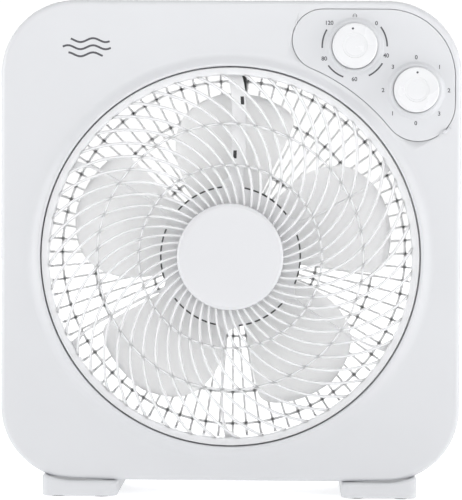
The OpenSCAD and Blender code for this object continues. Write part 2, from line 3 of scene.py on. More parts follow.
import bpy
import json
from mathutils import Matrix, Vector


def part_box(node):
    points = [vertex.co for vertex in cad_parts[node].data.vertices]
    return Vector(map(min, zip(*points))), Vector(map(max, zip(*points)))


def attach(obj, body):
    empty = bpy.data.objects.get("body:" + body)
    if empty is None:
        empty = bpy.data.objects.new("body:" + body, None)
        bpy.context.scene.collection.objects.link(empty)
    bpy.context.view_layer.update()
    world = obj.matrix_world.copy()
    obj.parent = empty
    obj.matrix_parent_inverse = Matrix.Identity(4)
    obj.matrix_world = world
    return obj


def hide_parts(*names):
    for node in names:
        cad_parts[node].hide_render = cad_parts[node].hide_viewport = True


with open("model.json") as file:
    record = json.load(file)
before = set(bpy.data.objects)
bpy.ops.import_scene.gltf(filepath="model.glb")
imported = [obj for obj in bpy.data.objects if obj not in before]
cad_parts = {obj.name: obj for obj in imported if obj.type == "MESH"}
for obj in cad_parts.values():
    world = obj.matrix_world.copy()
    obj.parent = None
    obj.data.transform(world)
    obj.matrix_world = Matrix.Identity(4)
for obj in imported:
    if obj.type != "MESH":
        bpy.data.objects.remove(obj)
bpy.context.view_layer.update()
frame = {"nodes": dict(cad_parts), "record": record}

import json
import math

import bmesh
import bpy
import numpy as np
from bpy.props import FloatProperty, FloatVectorProperty, IntProperty, PointerProperty
from mathutils import Quaternion, Vector

bl_info = {
    "name": "Box Fan",
    "version": (1, 0, 0),
    "blender": (4, 5, 0),
    "location": "View3D > Sidebar > Fan",
    "description": "Builds the shells, grilles, impeller, controls and feet of a box fan",
    "category": "Add Mesh",
}

MM = 0.001
MILK_REACH = 10 * MM
INK_DEPTH = 0.04 * MM
TAU = 2 * math.pi

# Landmarks of the frame. Heights run along the fan axis towards the front, so the front is positive.


def front_of(node):
    """Height of a node's foremost point."""
    return -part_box(node)[0].y


def back_of(node):
    """Height of a node's rearmost point."""
    return -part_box(node)[1].y


def middle_of(node):
    """Centre of a node's box."""
    low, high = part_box(node)
    return (Vector(low) + Vector(high)) / 2


AXIS_Z = middle_of("louver_grille").z
HOUSING_LOW, HOUSING_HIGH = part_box("rear_housing")
FRONT = front_of("control_panel") - 3.5 * MM
REAR = back_of("rear_housing")
SPLIT = back_of("front_housing")
HALF_W = HOUSING_HIGH.x
TOP = HOUSING_HIGH.z - AXIS_Z
BOTTOM = HOUSING_LOW.z - AXIS_Z
RIM_R = (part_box("louver_grille")[1].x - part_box("louver_grille")[0].x) / 2
CAP_R = (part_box("louver_cap")[1].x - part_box("louver_cap")[0].x) / 2
KNOB_R = (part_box("timer_knob")[1].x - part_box("timer_knob")[0].x) / 2
TIMER_AT = (middle_of("timer_knob").x, middle_of("timer_knob").z - AXIS_Z)
SPEED_AT = (middle_of("speed_knob").x, middle_of("speed_knob").z - AXIS_Z)
GUARD_R = (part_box("rear_guard")[1].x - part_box("rear_guard")[0].x) / 2


# ---------------------------------------------------------------- sizes and colours


def length(label, words, value):
    """A length in metres, given in millimetres."""
    return FloatProperty(
        name=label, description=words, default=value * MM, min=0.0, unit="LENGTH", precision=5
    )


def degrees(label, words, value):
    """A part of a sweep, in degrees."""
    return FloatProperty(name=label, description=words, default=value, min=0.0, max=60.0)


def number(label, words, value):
    """How many times a piece is repeated."""
    return IntProperty(name=label, description=words, default=value, min=2, max=120)


def tone(label, words, value):
    """A surface colour."""
    return FloatVectorProperty(
        name=label, description=words, default=value, min=0.0, max=1.0, size=3, subtype="COLOR"
    )


class FanHousingSizes(bpy.types.PropertyGroup):
    """Sizes of the two shells, the opening and the carry grip"""

    corner: length("Corner radius", "Radius of the housing's corners from the front", 65)
    wall: length("Wall", "Thickness of the moulded shells", 2.5)
    front_edge: length("Front edge", "Rounding of the front edge", 5)
    rear_edge: length("Rear edge", "Rounding of the rear edge", 12)
    duct: length("Opening radius", "Radius of the round front opening", 166)
    lip_rise: length("Lip rise", "Height of the raised lip over the front face", 3.75)
    lip_round: length("Lip rounding", "Rounding of the lip's inner edge", 1.8)
    lip_foot: length("Lip foot", "Radius where the lip meets the face", 179)
    seam: length("Shell seam", "Gap between the two shells", 0.7)
    duct_rear: length("Duct radius", "Inner radius of the duct in the rear shell", 168.2)
    duct_front: length("Duct front", "Height of the duct's front end", 43)
    grip_w: length("Grip width", "Width of the carry grip", 110)
    grip_low: length("Grip foot", "Lower edge of the grip above the fan axis", 184.5)
    grip_high: length("Grip head", "Upper edge of the grip above the fan axis", 206.5)
    grip_depth: length("Grip depth", "Depth of the carry grip", 28)


class FanLouverSizes(bpy.types.PropertyGroup):
    """Sizes of the turning grille"""

    spokes: number("Spokes", "Number of swept spokes", 48)
    spoke_w: length("Spoke width", "Width of a spoke", 2.6)
    rim_in: length("Rim radius", "Inner radius of the rim", 158.3)
    ring_a: length("Inner ring", "Radius of the inner ring", 80)
    ring_b: length("Outer ring", "Radius of the outer ring", 116.2)
    spoke_front: length("Spoke front", "Height of the spokes' front", 56)
    spoke_back: length("Spoke back", "Height of the spokes' back", 50)
    skirt: length("Cap skirt", "Height of the cap's lower edge", 53)
    sweep: degrees("Sweep", "Even part of a spoke's sweep", 35.0)
    curl: degrees("Curl", "Growing part of a spoke's sweep", 12.6)


class FanSpiderSizes(bpy.types.PropertyGroup):
    """Sizes of the fixed spider behind the grille"""

    front: length("Front", "Height of the arms' and the cup's front", 44)
    back: length("Back", "Height of the arms' back", 32)
    cup_back: length("Cup back", "Height of the cup's open end", 28)
    ring_front: length("Ring front", "Height of the ring's front", 46)
    ring_depth: length("Ring depth", "Depth of the ring", 3)
    ring_in: length("Ring inside", "Inner radius of the ring", 160)
    ring_out: length("Ring outside", "Outer radius of the ring", 172)
    cup: length("Cup radius", "Radius of the cup", 61.5)
    wall: length("Wall", "Thickness of the cup, the arms and the channel", 2.2)
    channel: length("Channel width", "Width of the wire channel in the top arm", 12.7)
    bow: length("Bow", "How far an arm bows sideways", 6.9)
    bow_middle: length("Bow middle", "Radius in the middle of the bow", 111.5)
    bow_half: length("Bow half", "Half of the bow's length", 52.7)


class FanImpellerSizes(bpy.types.PropertyGroup):
    """Sizes of the impeller"""

    blades: number("Blades", "Number of blades", 5)
    tip: length("Tip radius", "Radius at the blade tips", 144)
    free_root: length("Root radius", "Radius where a blade's outline starts to change", 66)
    hub: length("Hub radius", "Radius of the hub", 56)
    thickness: length("Blade thickness", "Thickness in the middle of a blade", 2.2)
    root_rise: length("Root rise", "Height of the blade from edge to edge at the root", 34)
    tip_rise: length("Tip rise", "Height of the blade from edge to edge at the tip", 22)


class FanGuardSizes(bpy.types.PropertyGroup):
    """Sizes of the rear guard"""

    ribs: number("Ribs", "Number of straight ribs", 80)
    rib_w: length("Rib width", "Width of a rib", 2.4)
    rim_in: length("Rim radius", "Inner radius of the rim", 168.4)
    reach: length("Web radius", "Radius where the ribs lose their depth", 167.6)
    plate: length("Plate radius", "Radius of the motor plate", 61)
    ring_a: length("Inner ring", "Radius of the inner ring", 77.1)
    ring_b: length("Middle ring", "Radius of the middle ring", 128.6)
    ring_c: length("Outer ring", "Radius of the outer ring", 157.8)


class FanControlSizes(bpy.types.PropertyGroup):
    """Sizes of the control panel"""

    left: length("Panel left", "Left end of the panel from the fan axis", 53.2)
    top: length("Panel top", "Top edge of the panel above the fan axis", 215.8)
    right: length("Panel right", "Right edge of the panel from the fan axis", 194.9)
    bottom: length("Panel foot", "Lower end of the panel above the fan axis", 101.5)
    ring: length("Panel ring", "Radius of the edge that follows the lip", 178.7)
    corner: length("Panel corner", "Radius of the outer corner", 59.4)
    gap: length("Panel gap", "Gap round the panel", 0.45)
    collar: length("Collar", "Outer radius of the collar round a knob", 24.2)
    digit: length("Digit height", "Height of the printed numbers", 3.5)


class FanFinish(bpy.types.PropertyGroup):
    """Colours of the pieces and the floor"""

    # The pieces are all one white plastic. The spider, blade and guard are set much lighter than the shell
    # as painted light, making up for the shade they sit in deep inside the duct.
    shell: tone("Shell", "Colour of both shells", (0.57, 0.578, 0.598))
    louver: tone("Louver", "Colour of the louver grille", (0.64, 0.645, 0.66))
    cap: tone("Cap", "Colour of the louver's cap", (0.60, 0.605, 0.625))
    knob: tone("Knob", "Colour of the knobs", (0.64, 0.645, 0.66))
    spider: tone("Spider", "Colour of the spider", (0.96, 0.96, 0.97))
    blade: tone("Blade", "Colour of the impeller", (0.97, 0.97, 0.97))
    # Painted shade: the blade's forward edge is set darker to stand in for how the light falls across the
    # curved blade.
    blade_edge_shade: tone("Blade edge", "Colour of the blade's forward edge", (0.92, 0.92, 0.92))
    guard: tone("Guard", "Colour of the rear guard", (0.97, 0.97, 0.97))
    print: tone("Print", "Colour of the printed marks", (0.07, 0.07, 0.08))
    floor: tone("Floor", "Colour of the floor and backdrop", (0.85, 0.85, 0.85))


GROUPS = {
    "fan_housing": FanHousingSizes,
    "fan_louver": FanLouverSizes,
    "fan_spider": FanSpiderSizes,
    "fan_impeller": FanImpellerSizes,
    "fan_guard": FanGuardSizes,
    "fan_controls": FanControlSizes,
    "fan_finish": FanFinish,
}


# ---------------------------------------------------------------- surfaces


def at(u, v, h, centre=(0.0, 0.0)):
    """Points from the fan axis: u to the right, v up and h towards the front."""
    u, v, h = np.broadcast_arrays(u, v, h)
    return np.stack([u + centre[0], -h, v + centre[1] + AXIS_Z], axis=-1)


def unit(theta):
    """Flat directions at angles from the right."""
    return np.stack([np.cos(theta), np.sin(theta)], axis=-1)


def grid_quads(rows, columns, wrap_rows=False, wrap_columns=False, flip=False):
    """Four-sided faces between the neighbouring points of a grid, which may close on itself."""
    i = np.arange(rows if wrap_rows else rows - 1)[:, None]
    j = np.arange(columns if wrap_columns else columns - 1)[None, :]
    i_next, j_next = (i + 1) % rows, (j + 1) % columns
    quads = np.stack(
        [i * columns + j, i_next * columns + j, i_next * columns + j_next, i * columns + j_next], axis=-1
    ).reshape(-1, 4)
    return quads[:, ::-1] if flip else quads


def sheet(points, wrap_rows=False, wrap_columns=False, flip=False):
    """A block of a mesh from a grid of points, rows by columns by 3."""
    rows, columns = points.shape[:2]
    return points.reshape(-1, 3), grid_quads(rows, columns, wrap_rows, wrap_columns, flip)


def end_caps(points):
    """The first and the last column of a grid that closes on itself, each as one many-sided face."""
    rows, columns = points.shape[:2]
    first = np.arange(rows) * columns
    return [first.tolist(), (first + columns - 1).tolist()]


def turned(profile, steps=160, centre=(0.0, 0.0), closed=True, span=(0.0, TAU)):
    """A profile of (radius, height) points turned about an axis along the fan's.

    A point is (r cos t, r sin t, h). A closed profile joins its last point to its first."""
    profile = np.asarray(profile, dtype=float)
    whole = abs(span[1] - span[0] - TAU) < 1e-6
    t = np.linspace(span[0], span[1], steps, endpoint=not whole)[:, None]
    points = at(profile[:, 0] * np.cos(t), profile[:, 0] * np.sin(t), profile[:, 1] + 0 * t, centre)
    if whole:
        return sheet(points, wrap_rows=True, wrap_columns=closed)
    ends = points.mean(axis=1, keepdims=True) + 0 * points
    return sheet(np.concatenate([ends[:1], points, ends[-1:]]), wrap_columns=closed)


def around(block, count, start=0.0):
    """Copies of a block turned evenly about the fan axis."""
    points, quads = block
    t = (start + np.arange(count) * TAU / count)[:, None]
    x, z = points[:, 0], points[:, 2] - AXIS_Z
    turned_x = x * np.cos(t) - z * np.sin(t)
    turned_z = x * np.sin(t) + z * np.cos(t)
    y = points[:, 1] + 0 * t
    copies = np.stack([turned_x, y, turned_z + AXIS_Z], axis=-1).reshape(-1, 3)
    offsets = (np.arange(count) * len(points))[:, None, None]
    return copies, (quads[None] + offsets).reshape(-1, 4)


def swept_bar(path, section, height):
    """A bar along a flat path: section's first number goes sideways and its second along the axis.

    The end rings shrink to their middles, which closes the bar."""
    path = np.asarray(path, dtype=float)
    along = np.gradient(path, axis=0)
    along /= np.linalg.norm(along, axis=1, keepdims=True)
    side = np.stack([-along[:, 1], along[:, 0]], axis=1)
    section = np.asarray(section, dtype=float)
    if section.ndim == 2:
        section = np.repeat(section[None], len(path), axis=0)
    flat = path[:, None, :] + section[:, :, :1] * side[:, None, :]
    points = at(flat[..., 0], flat[..., 1], height + section[..., 1])
    first = points[:1].mean(axis=1, keepdims=True) + 0 * points[:1]
    last = points[-1:].mean(axis=1, keepdims=True) + 0 * points[-1:]
    return sheet(np.concatenate([first, points, last]), wrap_columns=True)


def soft_section(width, depth, power=3.0, count=14):
    """A rounded rectangle as a superellipse: |x / a|^p + |y / b|^p = 1."""
    t = np.linspace(0, TAU, count, endpoint=False)
    c, s = np.cos(t), np.sin(t)
    return np.stack(
        [
            width / 2 * np.sign(c) * np.abs(c) ** (2 / power),
            depth / 2 * np.sign(s) * np.abs(s) ** (2 / power),
        ],
        axis=-1,
    )


def arc(centre, radius, start, end, count):
    """Points on an arc between two angles in degrees."""
    return np.asarray(centre) + radius * unit(np.radians(np.linspace(start, end, count)))


def merged(*blocks):
    """Several blocks as one."""
    points, quads, start = [], [], 0
    for block_points, block_quads in blocks:
        points.append(block_points)
        quads.append(block_quads + start)
        start += len(block_points)
    return np.concatenate(points), np.concatenate(quads)


def make_piece(
    name, blocks, body, finish, nodes=(), flats=(), open_sheet=False, chord=None, sharp=40
):
    """Puts blocks of points and quads into one welded mesh, smooth but for its sharp edges."""
    points, quads = merged(*blocks)
    faces = quads.tolist() + [list(flat) for flat in flats]
    mesh = bpy.data.meshes.new(name)
    mesh.from_pydata(points.tolist(), [], faces)
    if chord is not None:
        values = np.zeros(len(points), dtype=np.float32)
        values[: len(chord)] = chord
        mesh.attributes.new("chord", "FLOAT", "POINT").data.foreach_set("value", values)
    welded = bmesh.new()
    welded.from_mesh(mesh)
    bmesh.ops.remove_doubles(welded, verts=welded.verts, dist=2e-6)
    bmesh.ops.dissolve_degenerate(welded, edges=welded.edges, dist=1e-7)
    if not open_sheet:
        bmesh.ops.recalc_face_normals(welded, faces=welded.faces)
    welded.to_mesh(mesh)
    welded.free()
    mesh.shade_smooth()
    mesh.set_sharp_from_angle(angle=math.radians(sharp))
    piece = bpy.data.objects.new(name, mesh)
    bpy.context.scene.collection.objects.link(piece)
    mesh.materials.append(finish)
    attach(piece, body)
    if nodes:
        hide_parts(*nodes)
    return piece


def thicken(piece, wall):
    """Gives an open sheet its wall, inwards from its outer face."""
    solid = piece.modifiers.new("wall", "SOLIDIFY")
    solid.thickness = wall
    solid.offset = -1.0
    solid.use_even_offset = False
    return piece


# ---------------------------------------------------------------- outlines seen from the front


def housing_outline(theta, sizes, count=96):
    """Point and outward direction of the housing's rounded square at each angle about the fan axis."""
    r = sizes.corner
    x, up, down = HALF_W - r, TOP - r, BOTTOM + r
    t = np.linspace(0, TAU / 4, count)
    corners = [(x, up, 0), (-x, up, 1), (-x, down, 2), (x, down, 3)]
    normal_angle = np.concatenate([t + k * TAU / 4 for _, _, k in corners])
    centre = np.concatenate([np.repeat([[cx, cy]], count, axis=0) for cx, cy, _ in corners])
    normal = unit(normal_angle)
    rim = centre + r * normal
    angle = np.unwrap(np.arctan2(rim[:, 1], rim[:, 0]))
    whole = np.concatenate([angle - TAU, angle, angle + TAU])
    out = np.stack([np.interp(theta, whole, np.tile(normal[:, k], 3)) for k in (0, 1)], axis=-1)
    out /= np.linalg.norm(out, axis=1, keepdims=True)
    return unit(theta) * ray_reach(theta, rim)[:, None], out


def dense(rim, steps):
    """A closed outline with every stretch cut into even steps."""
    closed = np.concatenate([rim, rim[:1]])
    share = np.linspace(0, 1, steps, endpoint=False)[None, :, None]
    return (closed[:-1, None] + (closed[1:, None] - closed[:-1, None]) * share).reshape(-1, rim.shape[1])


def ray_reach(theta, rim):
    """How far a ray from the axis goes before it meets a closed outline round the axis."""
    rim = dense(rim, 96)
    angle = np.arctan2(rim[:, 1], rim[:, 0]) % TAU
    order = np.argsort(angle)
    return np.interp(theta % TAU, angle[order], np.hypot(*rim[order].T), period=TAU)


def hole_rails(rim, count, blunt=0.0003):
    """Near and far radius of a hole's outline for angles spaced closely at its two ends.

    The ends are cut square just inside the outline's first and last angle."""
    rim = dense(rim, 12)
    angle = np.arctan2(rim[:, 1], rim[:, 0])
    radius = np.hypot(*rim.T)
    start = int(np.argmin(angle))
    angle, radius = np.roll(angle, -start), np.roll(radius, -start)
    turn = int(np.argmax(angle))
    spread = (1 - np.cos(np.linspace(0, math.pi, count))) / 2
    lo, hi = angle[0] + blunt, angle[turn] - blunt
    theta = lo + (hi - lo) * spread
    one = np.interp(theta, np.maximum.accumulate(angle[: turn + 1]), radius[: turn + 1])
    other_angle = np.append(angle[turn:], angle[0])[::-1]
    other_radius = np.append(radius[turn:], radius[0])[::-1]
    two = np.interp(theta, np.maximum.accumulate(other_angle), other_radius)
    near, far = np.minimum(one, two), np.maximum(one, two)
    middle = (near[[0, -1]] + far[[0, -1]]) / 2
    theta = np.concatenate([[lo - blunt / 4], theta, [hi + blunt / 4]])
    near, far = (np.concatenate([middle[:1], rail, middle[1:]]) for rail in (near, far))
    return theta, near, far


def end_radius(far, near, ring):
    """Radius of the arc that touches two straight edges of the panel and the ring round the fan."""
    b = far + ring - near
    return b - math.sqrt(b * b - (far * far + near * near - ring * ring))


def panel_outline(sizes, grow, count=40):
    """The panel's outline as four arcs that run into each other, grown all round."""
    ring, corner = sizes.ring - grow, sizes.corner + grow
    top, right = sizes.top + grow, sizes.right + grow
    left, bottom = sizes.left - grow, sizes.bottom - grow
    r_low, r_high = end_radius(right, bottom, ring), end_radius(top, left, ring)
    low, high = (right - r_low, bottom + r_low), (left + r_high, top - r_high)
    a_low = math.degrees(math.atan2(low[1], low[0]))
    a_high = math.degrees(math.atan2(high[1], high[0]))
    return np.concatenate([
        arc(low, r_low, a_low + 180, 360, count),
        arc((right - corner, top - corner), corner, 0, 90, count),
        arc(high, r_high, 90, a_high + 180, count),
        arc((0, 0), ring, a_high, a_low, 2 * count)[1:-1],
    ])


def grip_outline(sizes, radius=5 * MM, count=12):
    """The carry grip's mouth, a rectangle with rounded corners and evenly cut sides."""
    x, low, high = sizes.grip_w / 2, sizes.grip_low, sizes.grip_high
    return dense(np.concatenate([
        arc((x - radius, low + radius), radius, -90, 0, count),
        arc((x - radius, high - radius), radius, 0, 90, count),
        arc((radius - x, high - radius), radius, 90, 180, count),
        arc((radius - x, low + radius), radius, 180, 270, count),
    ]), 8)


def face_rails(rim, foot, edge, even=420, extra=150):
    """Angles round the face, with the near and far rails of a hole in it.

    Away from the hole both rails run together between the foot of the lip and the edge."""
    hole_theta, near, far = hole_rails(rim, extra)
    lo, hi = hole_theta[0], hole_theta[-1]
    theta = np.linspace(hi, lo + TAU, even)[1:-1]
    ends = np.array([hi, lo + TAU])
    share = (np.array([far[-1], far[0]]) - foot) / (edge(ends) - foot)
    single = foot + (edge(theta) - foot) * np.interp(theta, ends, share)
    theta = np.concatenate([hole_theta, theta])
    return theta, np.concatenate([near, single]), np.concatenate([far, single]), len(hole_theta)


# ---------------------------------------------------------------- finishes


def new_group(name, inputs, outputs):
    """An empty shader node group with its sockets."""
    group = bpy.data.node_groups.new(name, "ShaderNodeTree")
    for label, kind, value in inputs:
        socket = group.interface.new_socket(label, in_out="INPUT", socket_type=kind)
        socket.default_value = value
    for label, kind in outputs:
        group.interface.new_socket(label, in_out="OUTPUT", socket_type=kind)
    return group, group.nodes.new("NodeGroupInput"), group.nodes.new("NodeGroupOutput")


def noise(tree, vector, scale, detail=2.0):
    """A noise texture on the given coordinates."""
    node = tree.nodes.new("ShaderNodeTexNoise")
    node.inputs["Scale"].default_value = scale
    node.inputs["Detail"].default_value = detail
    tree.links.new(vector, node.inputs["Vector"])
    return node.outputs["Fac"]


def mix_colour(tree, factor, one, two):
    """Blends two colour sockets."""
    node = tree.nodes.new("ShaderNodeMix")
    node.data_type = "RGBA"
    tree.links.new(factor, node.inputs["Factor"])
    tree.links.new(one, node.inputs[6])
    tree.links.new(two, node.inputs[7])
    return node.outputs[2]


def map_range(tree, value, low, high, to_low, to_high):
    """Carries a value from one range to another."""
    node = tree.nodes.new("ShaderNodeMapRange")
    tree.links.new(value, node.inputs["Value"])
    for label, number in (("From Min", low), ("From Max", high)):
        node.inputs[label].default_value = number
    for label, target in (("To Min", to_low), ("To Max", to_high)):
        if isinstance(target, (int, float)):
            node.inputs[label].default_value = target
        else:
            tree.links.new(target, node.inputs[label])
    return node.outputs["Result"]


def moulded_surface():
    """Moulded plastic: broad cloudy tint, fine spark-eroded grain and uneven gloss."""
    name = "moulded_surface"
    if name in bpy.data.node_groups:
        return bpy.data.node_groups[name]
    group, given, result = new_group(
        name,
        [
            ("Colour", "NodeSocketColor", (0.8, 0.8, 0.8, 1)),
            ("Tint", "NodeSocketColor", (0.75, 0.75, 0.8, 1)),
            ("Cloud Scale", "NodeSocketFloat", 9.0),
            ("Grain Scale", "NodeSocketFloat", 1400.0),
            ("Gloss Low", "NodeSocketFloat", 0.3),
            ("Gloss High", "NodeSocketFloat", 0.42),
        ],
        [("Colour", "NodeSocketColor"), ("Roughness", "NodeSocketFloat"), ("Height", "NodeSocketFloat")],
    )
    place = group.nodes.new("ShaderNodeTexCoord").outputs["Object"]
    cloud = group.nodes.new("ShaderNodeTexNoise")
    group.links.new(place, cloud.inputs["Vector"])
    group.links.new(given.outputs["Cloud Scale"], cloud.inputs["Scale"])
    grain = group.nodes.new("ShaderNodeTexNoise")
    grain.inputs["Detail"].default_value = 3.0
    group.links.new(place, grain.inputs["Vector"])
    group.links.new(given.outputs["Grain Scale"], grain.inputs["Scale"])
    shade = map_range(group, cloud.outputs["Fac"], 0.35, 0.65, 0.0, 1.0)
    colour = mix_colour(group, shade, given.outputs["Colour"], given.outputs["Tint"])
    streak = noise(group, place, 55.0, 4.0)
    gloss = map_range(group, streak, 0.3, 0.7, given.outputs["Gloss Low"], given.outputs["Gloss High"])
    group.links.new(colour, result.inputs["Colour"])
    group.links.new(gloss, result.inputs["Roughness"])
    group.links.new(grain.outputs["Fac"], result.inputs["Height"])
    return group


def blank_material(name):
    """A material with only a Principled shader and its output."""
    material = bpy.data.materials.new(name)
    material.use_nodes = True
    tree = material.node_tree
    tree.nodes.clear()
    shader = tree.nodes.new("ShaderNodeBsdfPrincipled")
    output = tree.nodes.new("ShaderNodeOutputMaterial")
    tree.links.new(shader.outputs["BSDF"], output.inputs["Surface"])
    return material, tree, shader


def plastic(name, colour, gloss=(0.30, 0.42), coat=0.15, grain=1400.0, bump=0.05, metal=0.0, milk=0.0):
    """A moulded plastic, or a metal when metal is 1, with its own cloud, grain and gloss.

    Milk is the share of the light that spreads inside a thin wall."""
    if name in bpy.data.materials:
        return bpy.data.materials[name]
    material, tree, shader = blank_material(name)
    surface = surface_node(tree, colour, 0.975, gloss)
    surface.inputs["Grain Scale"].default_value = grain
    relief = tree.nodes.new("ShaderNodeBump")
    relief.inputs["Strength"].default_value = bump
    relief.inputs["Distance"].default_value = 0.0002
    tree.links.new(surface.outputs["Height"], relief.inputs["Height"])
    tree.links.new(surface.outputs["Colour"], shader.inputs["Base Color"])
    tree.links.new(surface.outputs["Roughness"], shader.inputs["Roughness"])
    tree.links.new(relief.outputs["Normal"], shader.inputs["Normal"])
    shader.inputs["Coat Weight"].default_value = coat
    shader.inputs["Coat Roughness"].default_value = 0.2
    shader.inputs["Metallic"].default_value = metal
    set_milk(shader, milk)
    return material


def surface_node(tree, colour, tint, gloss):
    """The moulded surface in a material, with its colour, a cloudier tint of it and its gloss."""
    surface = tree.nodes.new("ShaderNodeGroup")
    surface.node_tree = moulded_surface()
    surface.inputs["Colour"].default_value = (*colour, 1)
    surface.inputs["Tint"].default_value = (*(channel * tint for channel in colour), 1)
    surface.inputs["Gloss Low"].default_value, surface.inputs["Gloss High"].default_value = gloss
    return surface


def set_milk(shader, milk):
    """How much light passes through thin walls."""
    shader.inputs["Subsurface Weight"].default_value = milk
    shader.inputs["Subsurface Radius"].default_value = (1.0, 1.0, 1.0)
    shader.inputs["Subsurface Scale"].default_value = MILK_REACH


def blade_plastic(colours):
    """Milky plastic with painted shade: its tone runs darker across the blade from its rear edge to its
    forward edge, standing in for how the light falls across the curved blade.
    """
    name = "milky_blade"
    if name in bpy.data.materials:
        return bpy.data.materials[name]
    material, tree, shader = blank_material(name)
    surface = surface_node(tree, colours.blade, 0.985, (0.32, 0.46))
    chord = tree.nodes.new("ShaderNodeAttribute")
    chord.attribute_name = "chord"
    # Painted shade: the darker tone at the forward edge stands in for how the light falls across the blade.
    edge = tree.nodes.new("ShaderNodeRGB")
    edge.outputs[0].default_value = (*colours.blade_edge_shade, 1)
    share = map_range(tree, chord.outputs["Fac"], 0.05, 0.95, 0.0, 1.0)
    colour = mix_colour(tree, share, surface.outputs["Colour"], edge.outputs[0])
    tree.links.new(colour, shader.inputs["Base Color"])
    tree.links.new(surface.outputs["Roughness"], shader.inputs["Roughness"])
    shader.inputs["Coat Weight"].default_value = 0.1
    set_milk(shader, 1.0)
    return material


def finish_for(slot, colours):
    """The finish of each material slot in the record: its name, colour, gloss and what is special to it."""
    if slot == "blade_milky":
        return blade_plastic(colours)
    name, colour, gloss, special = {
        "housing_white": ("shell_white", colours.shell, (0.30, 0.42), {}),
        "guard_white": ("guard_plastic", colours.guard, (0.38, 0.5), {"milk": 1.0}),
        "spider_grey": ("spider_plastic", colours.spider, (0.4, 0.52), {}),
        "panel_white": ("panel_plastic", colours.shell, (0.30, 0.42), {"bump": 0.03}),
        "knob_white": ("knob_plastic", colours.knob, (0.2, 0.3), {"coat": 0.35, "bump": 0.02}),
        "louver_white": ("louver_plastic", colours.louver, (0.28, 0.4), {"milk": 0.7}),
        "foot_white": ("foot_plastic", colours.shell, (0.34, 0.46), {}),
        "black_plastic": ("black_moulding", (0.03, 0.03, 0.032), (0.45, 0.6), {"coat": 0.0}),
        "rubber": ("black_rubber", (0.035, 0.035, 0.037), (0.7, 0.85), {"coat": 0.0, "bump": 0.3}),
        "cable_grey": ("cable_jacket", (0.05, 0.05, 0.05), (0.5, 0.6), {"coat": 0.0}),
        "steel": ("zinc_steel", (0.55, 0.56, 0.58), (0.25, 0.45), {"metal": 1.0, "grain": 600.0}),
        "motor_metal": ("cast_bell", (0.6, 0.61, 0.63), (0.3, 0.5), {"metal": 1.0, "grain": 500.0}),
        "core_steel": ("core_laminations", (0.2, 0.21, 0.23), (0.4, 0.6), {"metal": 1.0}),
        "copper": ("enamelled_copper", (0.45, 0.16, 0.06), (0.25, 0.4), {"metal": 1.0, "grain": 900.0}),
        "bronze": ("sintered_bronze", (0.5, 0.33, 0.14), (0.4, 0.55), {"metal": 1.0}),
    }[slot]
    return plastic(name, colour, gloss, **special)


# ---------------------------------------------------------------- shells


def face_reach(sizes, edge):
    """Tells how far the flat face goes at each angle, up to where its edge starts to turn."""

    def reach(theta):
        rim, out = housing_outline(theta, sizes)
        return np.hypot(*(rim - out * edge).T)

    return reach


def outer_side(theta, far, sizes, edge, edge_steps, face_h, seam_h):
    """A shell's outside: flat from the far rail, a quarter circle round the edge, straight to the seam."""
    rim, out = housing_outline(theta, sizes)
    start = unit(theta) * far[:, None]
    face = start[:, None] + (rim - out * edge - start)[:, None] * np.linspace(0, 1, 8)[None, :, None]
    turn = np.linspace(0, math.pi / 2, edge_steps)[None, 1:]
    corner = rim[:, None] - out[:, None] * (edge * (1 - np.sin(turn)))[..., None]
    inwards = math.copysign(edge, seam_h - face_h)
    corner_h = face_h + inwards * (1 - np.cos(turn))
    share = np.linspace(0, 1, 8)[None, 1:]
    side_h = face_h + inwards + (seam_h - face_h - inwards) * share
    flat = np.concatenate([face, corner, rim[:, None] + 0 * share[..., None]], axis=1)
    height = np.concatenate([np.full((1, 8), face_h), corner_h, side_h], axis=1) + 0 * far[:, None]
    return sheet(at(flat[..., 0], flat[..., 1], height), wrap_rows=True, flip=face_h > seam_h)


def front_shell(sizes, panel, finish):
    """The front shell, from the wall of the opening over the lip and the face to the parting line.

    At each angle the section runs up the opening, round the lip's inner edge as an arc and down to
    the face as (1 - s^1.5)^2.5, then flat to the outline, round the front edge as a quarter circle
    and back along the side. The panel's opening is the space between the two rails."""
    reach = face_reach(sizes, sizes.front_edge)
    theta, near, far, _ = face_rails(panel_outline(panel, panel.gap), sizes.lip_foot, reach)
    near = near[:, None]
    foot = np.minimum(sizes.lip_foot, near - 0.3 * MM)
    hub = (sizes.duct + sizes.lip_round, FRONT + sizes.lip_rise - sizes.lip_round)
    wall_h = np.linspace(front_of("front_spider"), hub[1], 8)[None, :-1]
    bend = arc(hub, sizes.lip_round, 180, 90, 9)[None]
    crest_r, crest_h = bend[0, -1]
    fall_r = crest_r + (foot - crest_r) * np.linspace(0, 1, 18)[None, 1:]
    share = np.clip((fall_r - crest_r) / (sizes.lip_foot - crest_r), 0, 1)
    fall_h = FRONT + (crest_h - FRONT) * (1 - share ** 1.5) ** 2.5
    inner_r = np.concatenate([sizes.duct + 0 * wall_h, bend[..., 0]], axis=1) + 0 * foot
    inner_h = np.concatenate([wall_h, bend[..., 1]], axis=1) + 0 * foot
    radius = np.concatenate([inner_r, fall_r, near], axis=1)
    height = np.concatenate([inner_h, fall_h, FRONT + 0 * foot], axis=1)
    flat = unit(theta)[:, None, :] * radius[..., None]
    lip = sheet(at(flat[..., 0], flat[..., 1], height), wrap_rows=True, flip=True)
    body = outer_side(theta, far, sizes, sizes.front_edge, 9, FRONT, SPLIT + sizes.seam / 2)
    piece = make_piece(
        "front_shell", [lip, body], "housing", finish, ["front_housing"], open_sheet=True
    )
    return thicken(piece, sizes.wall)


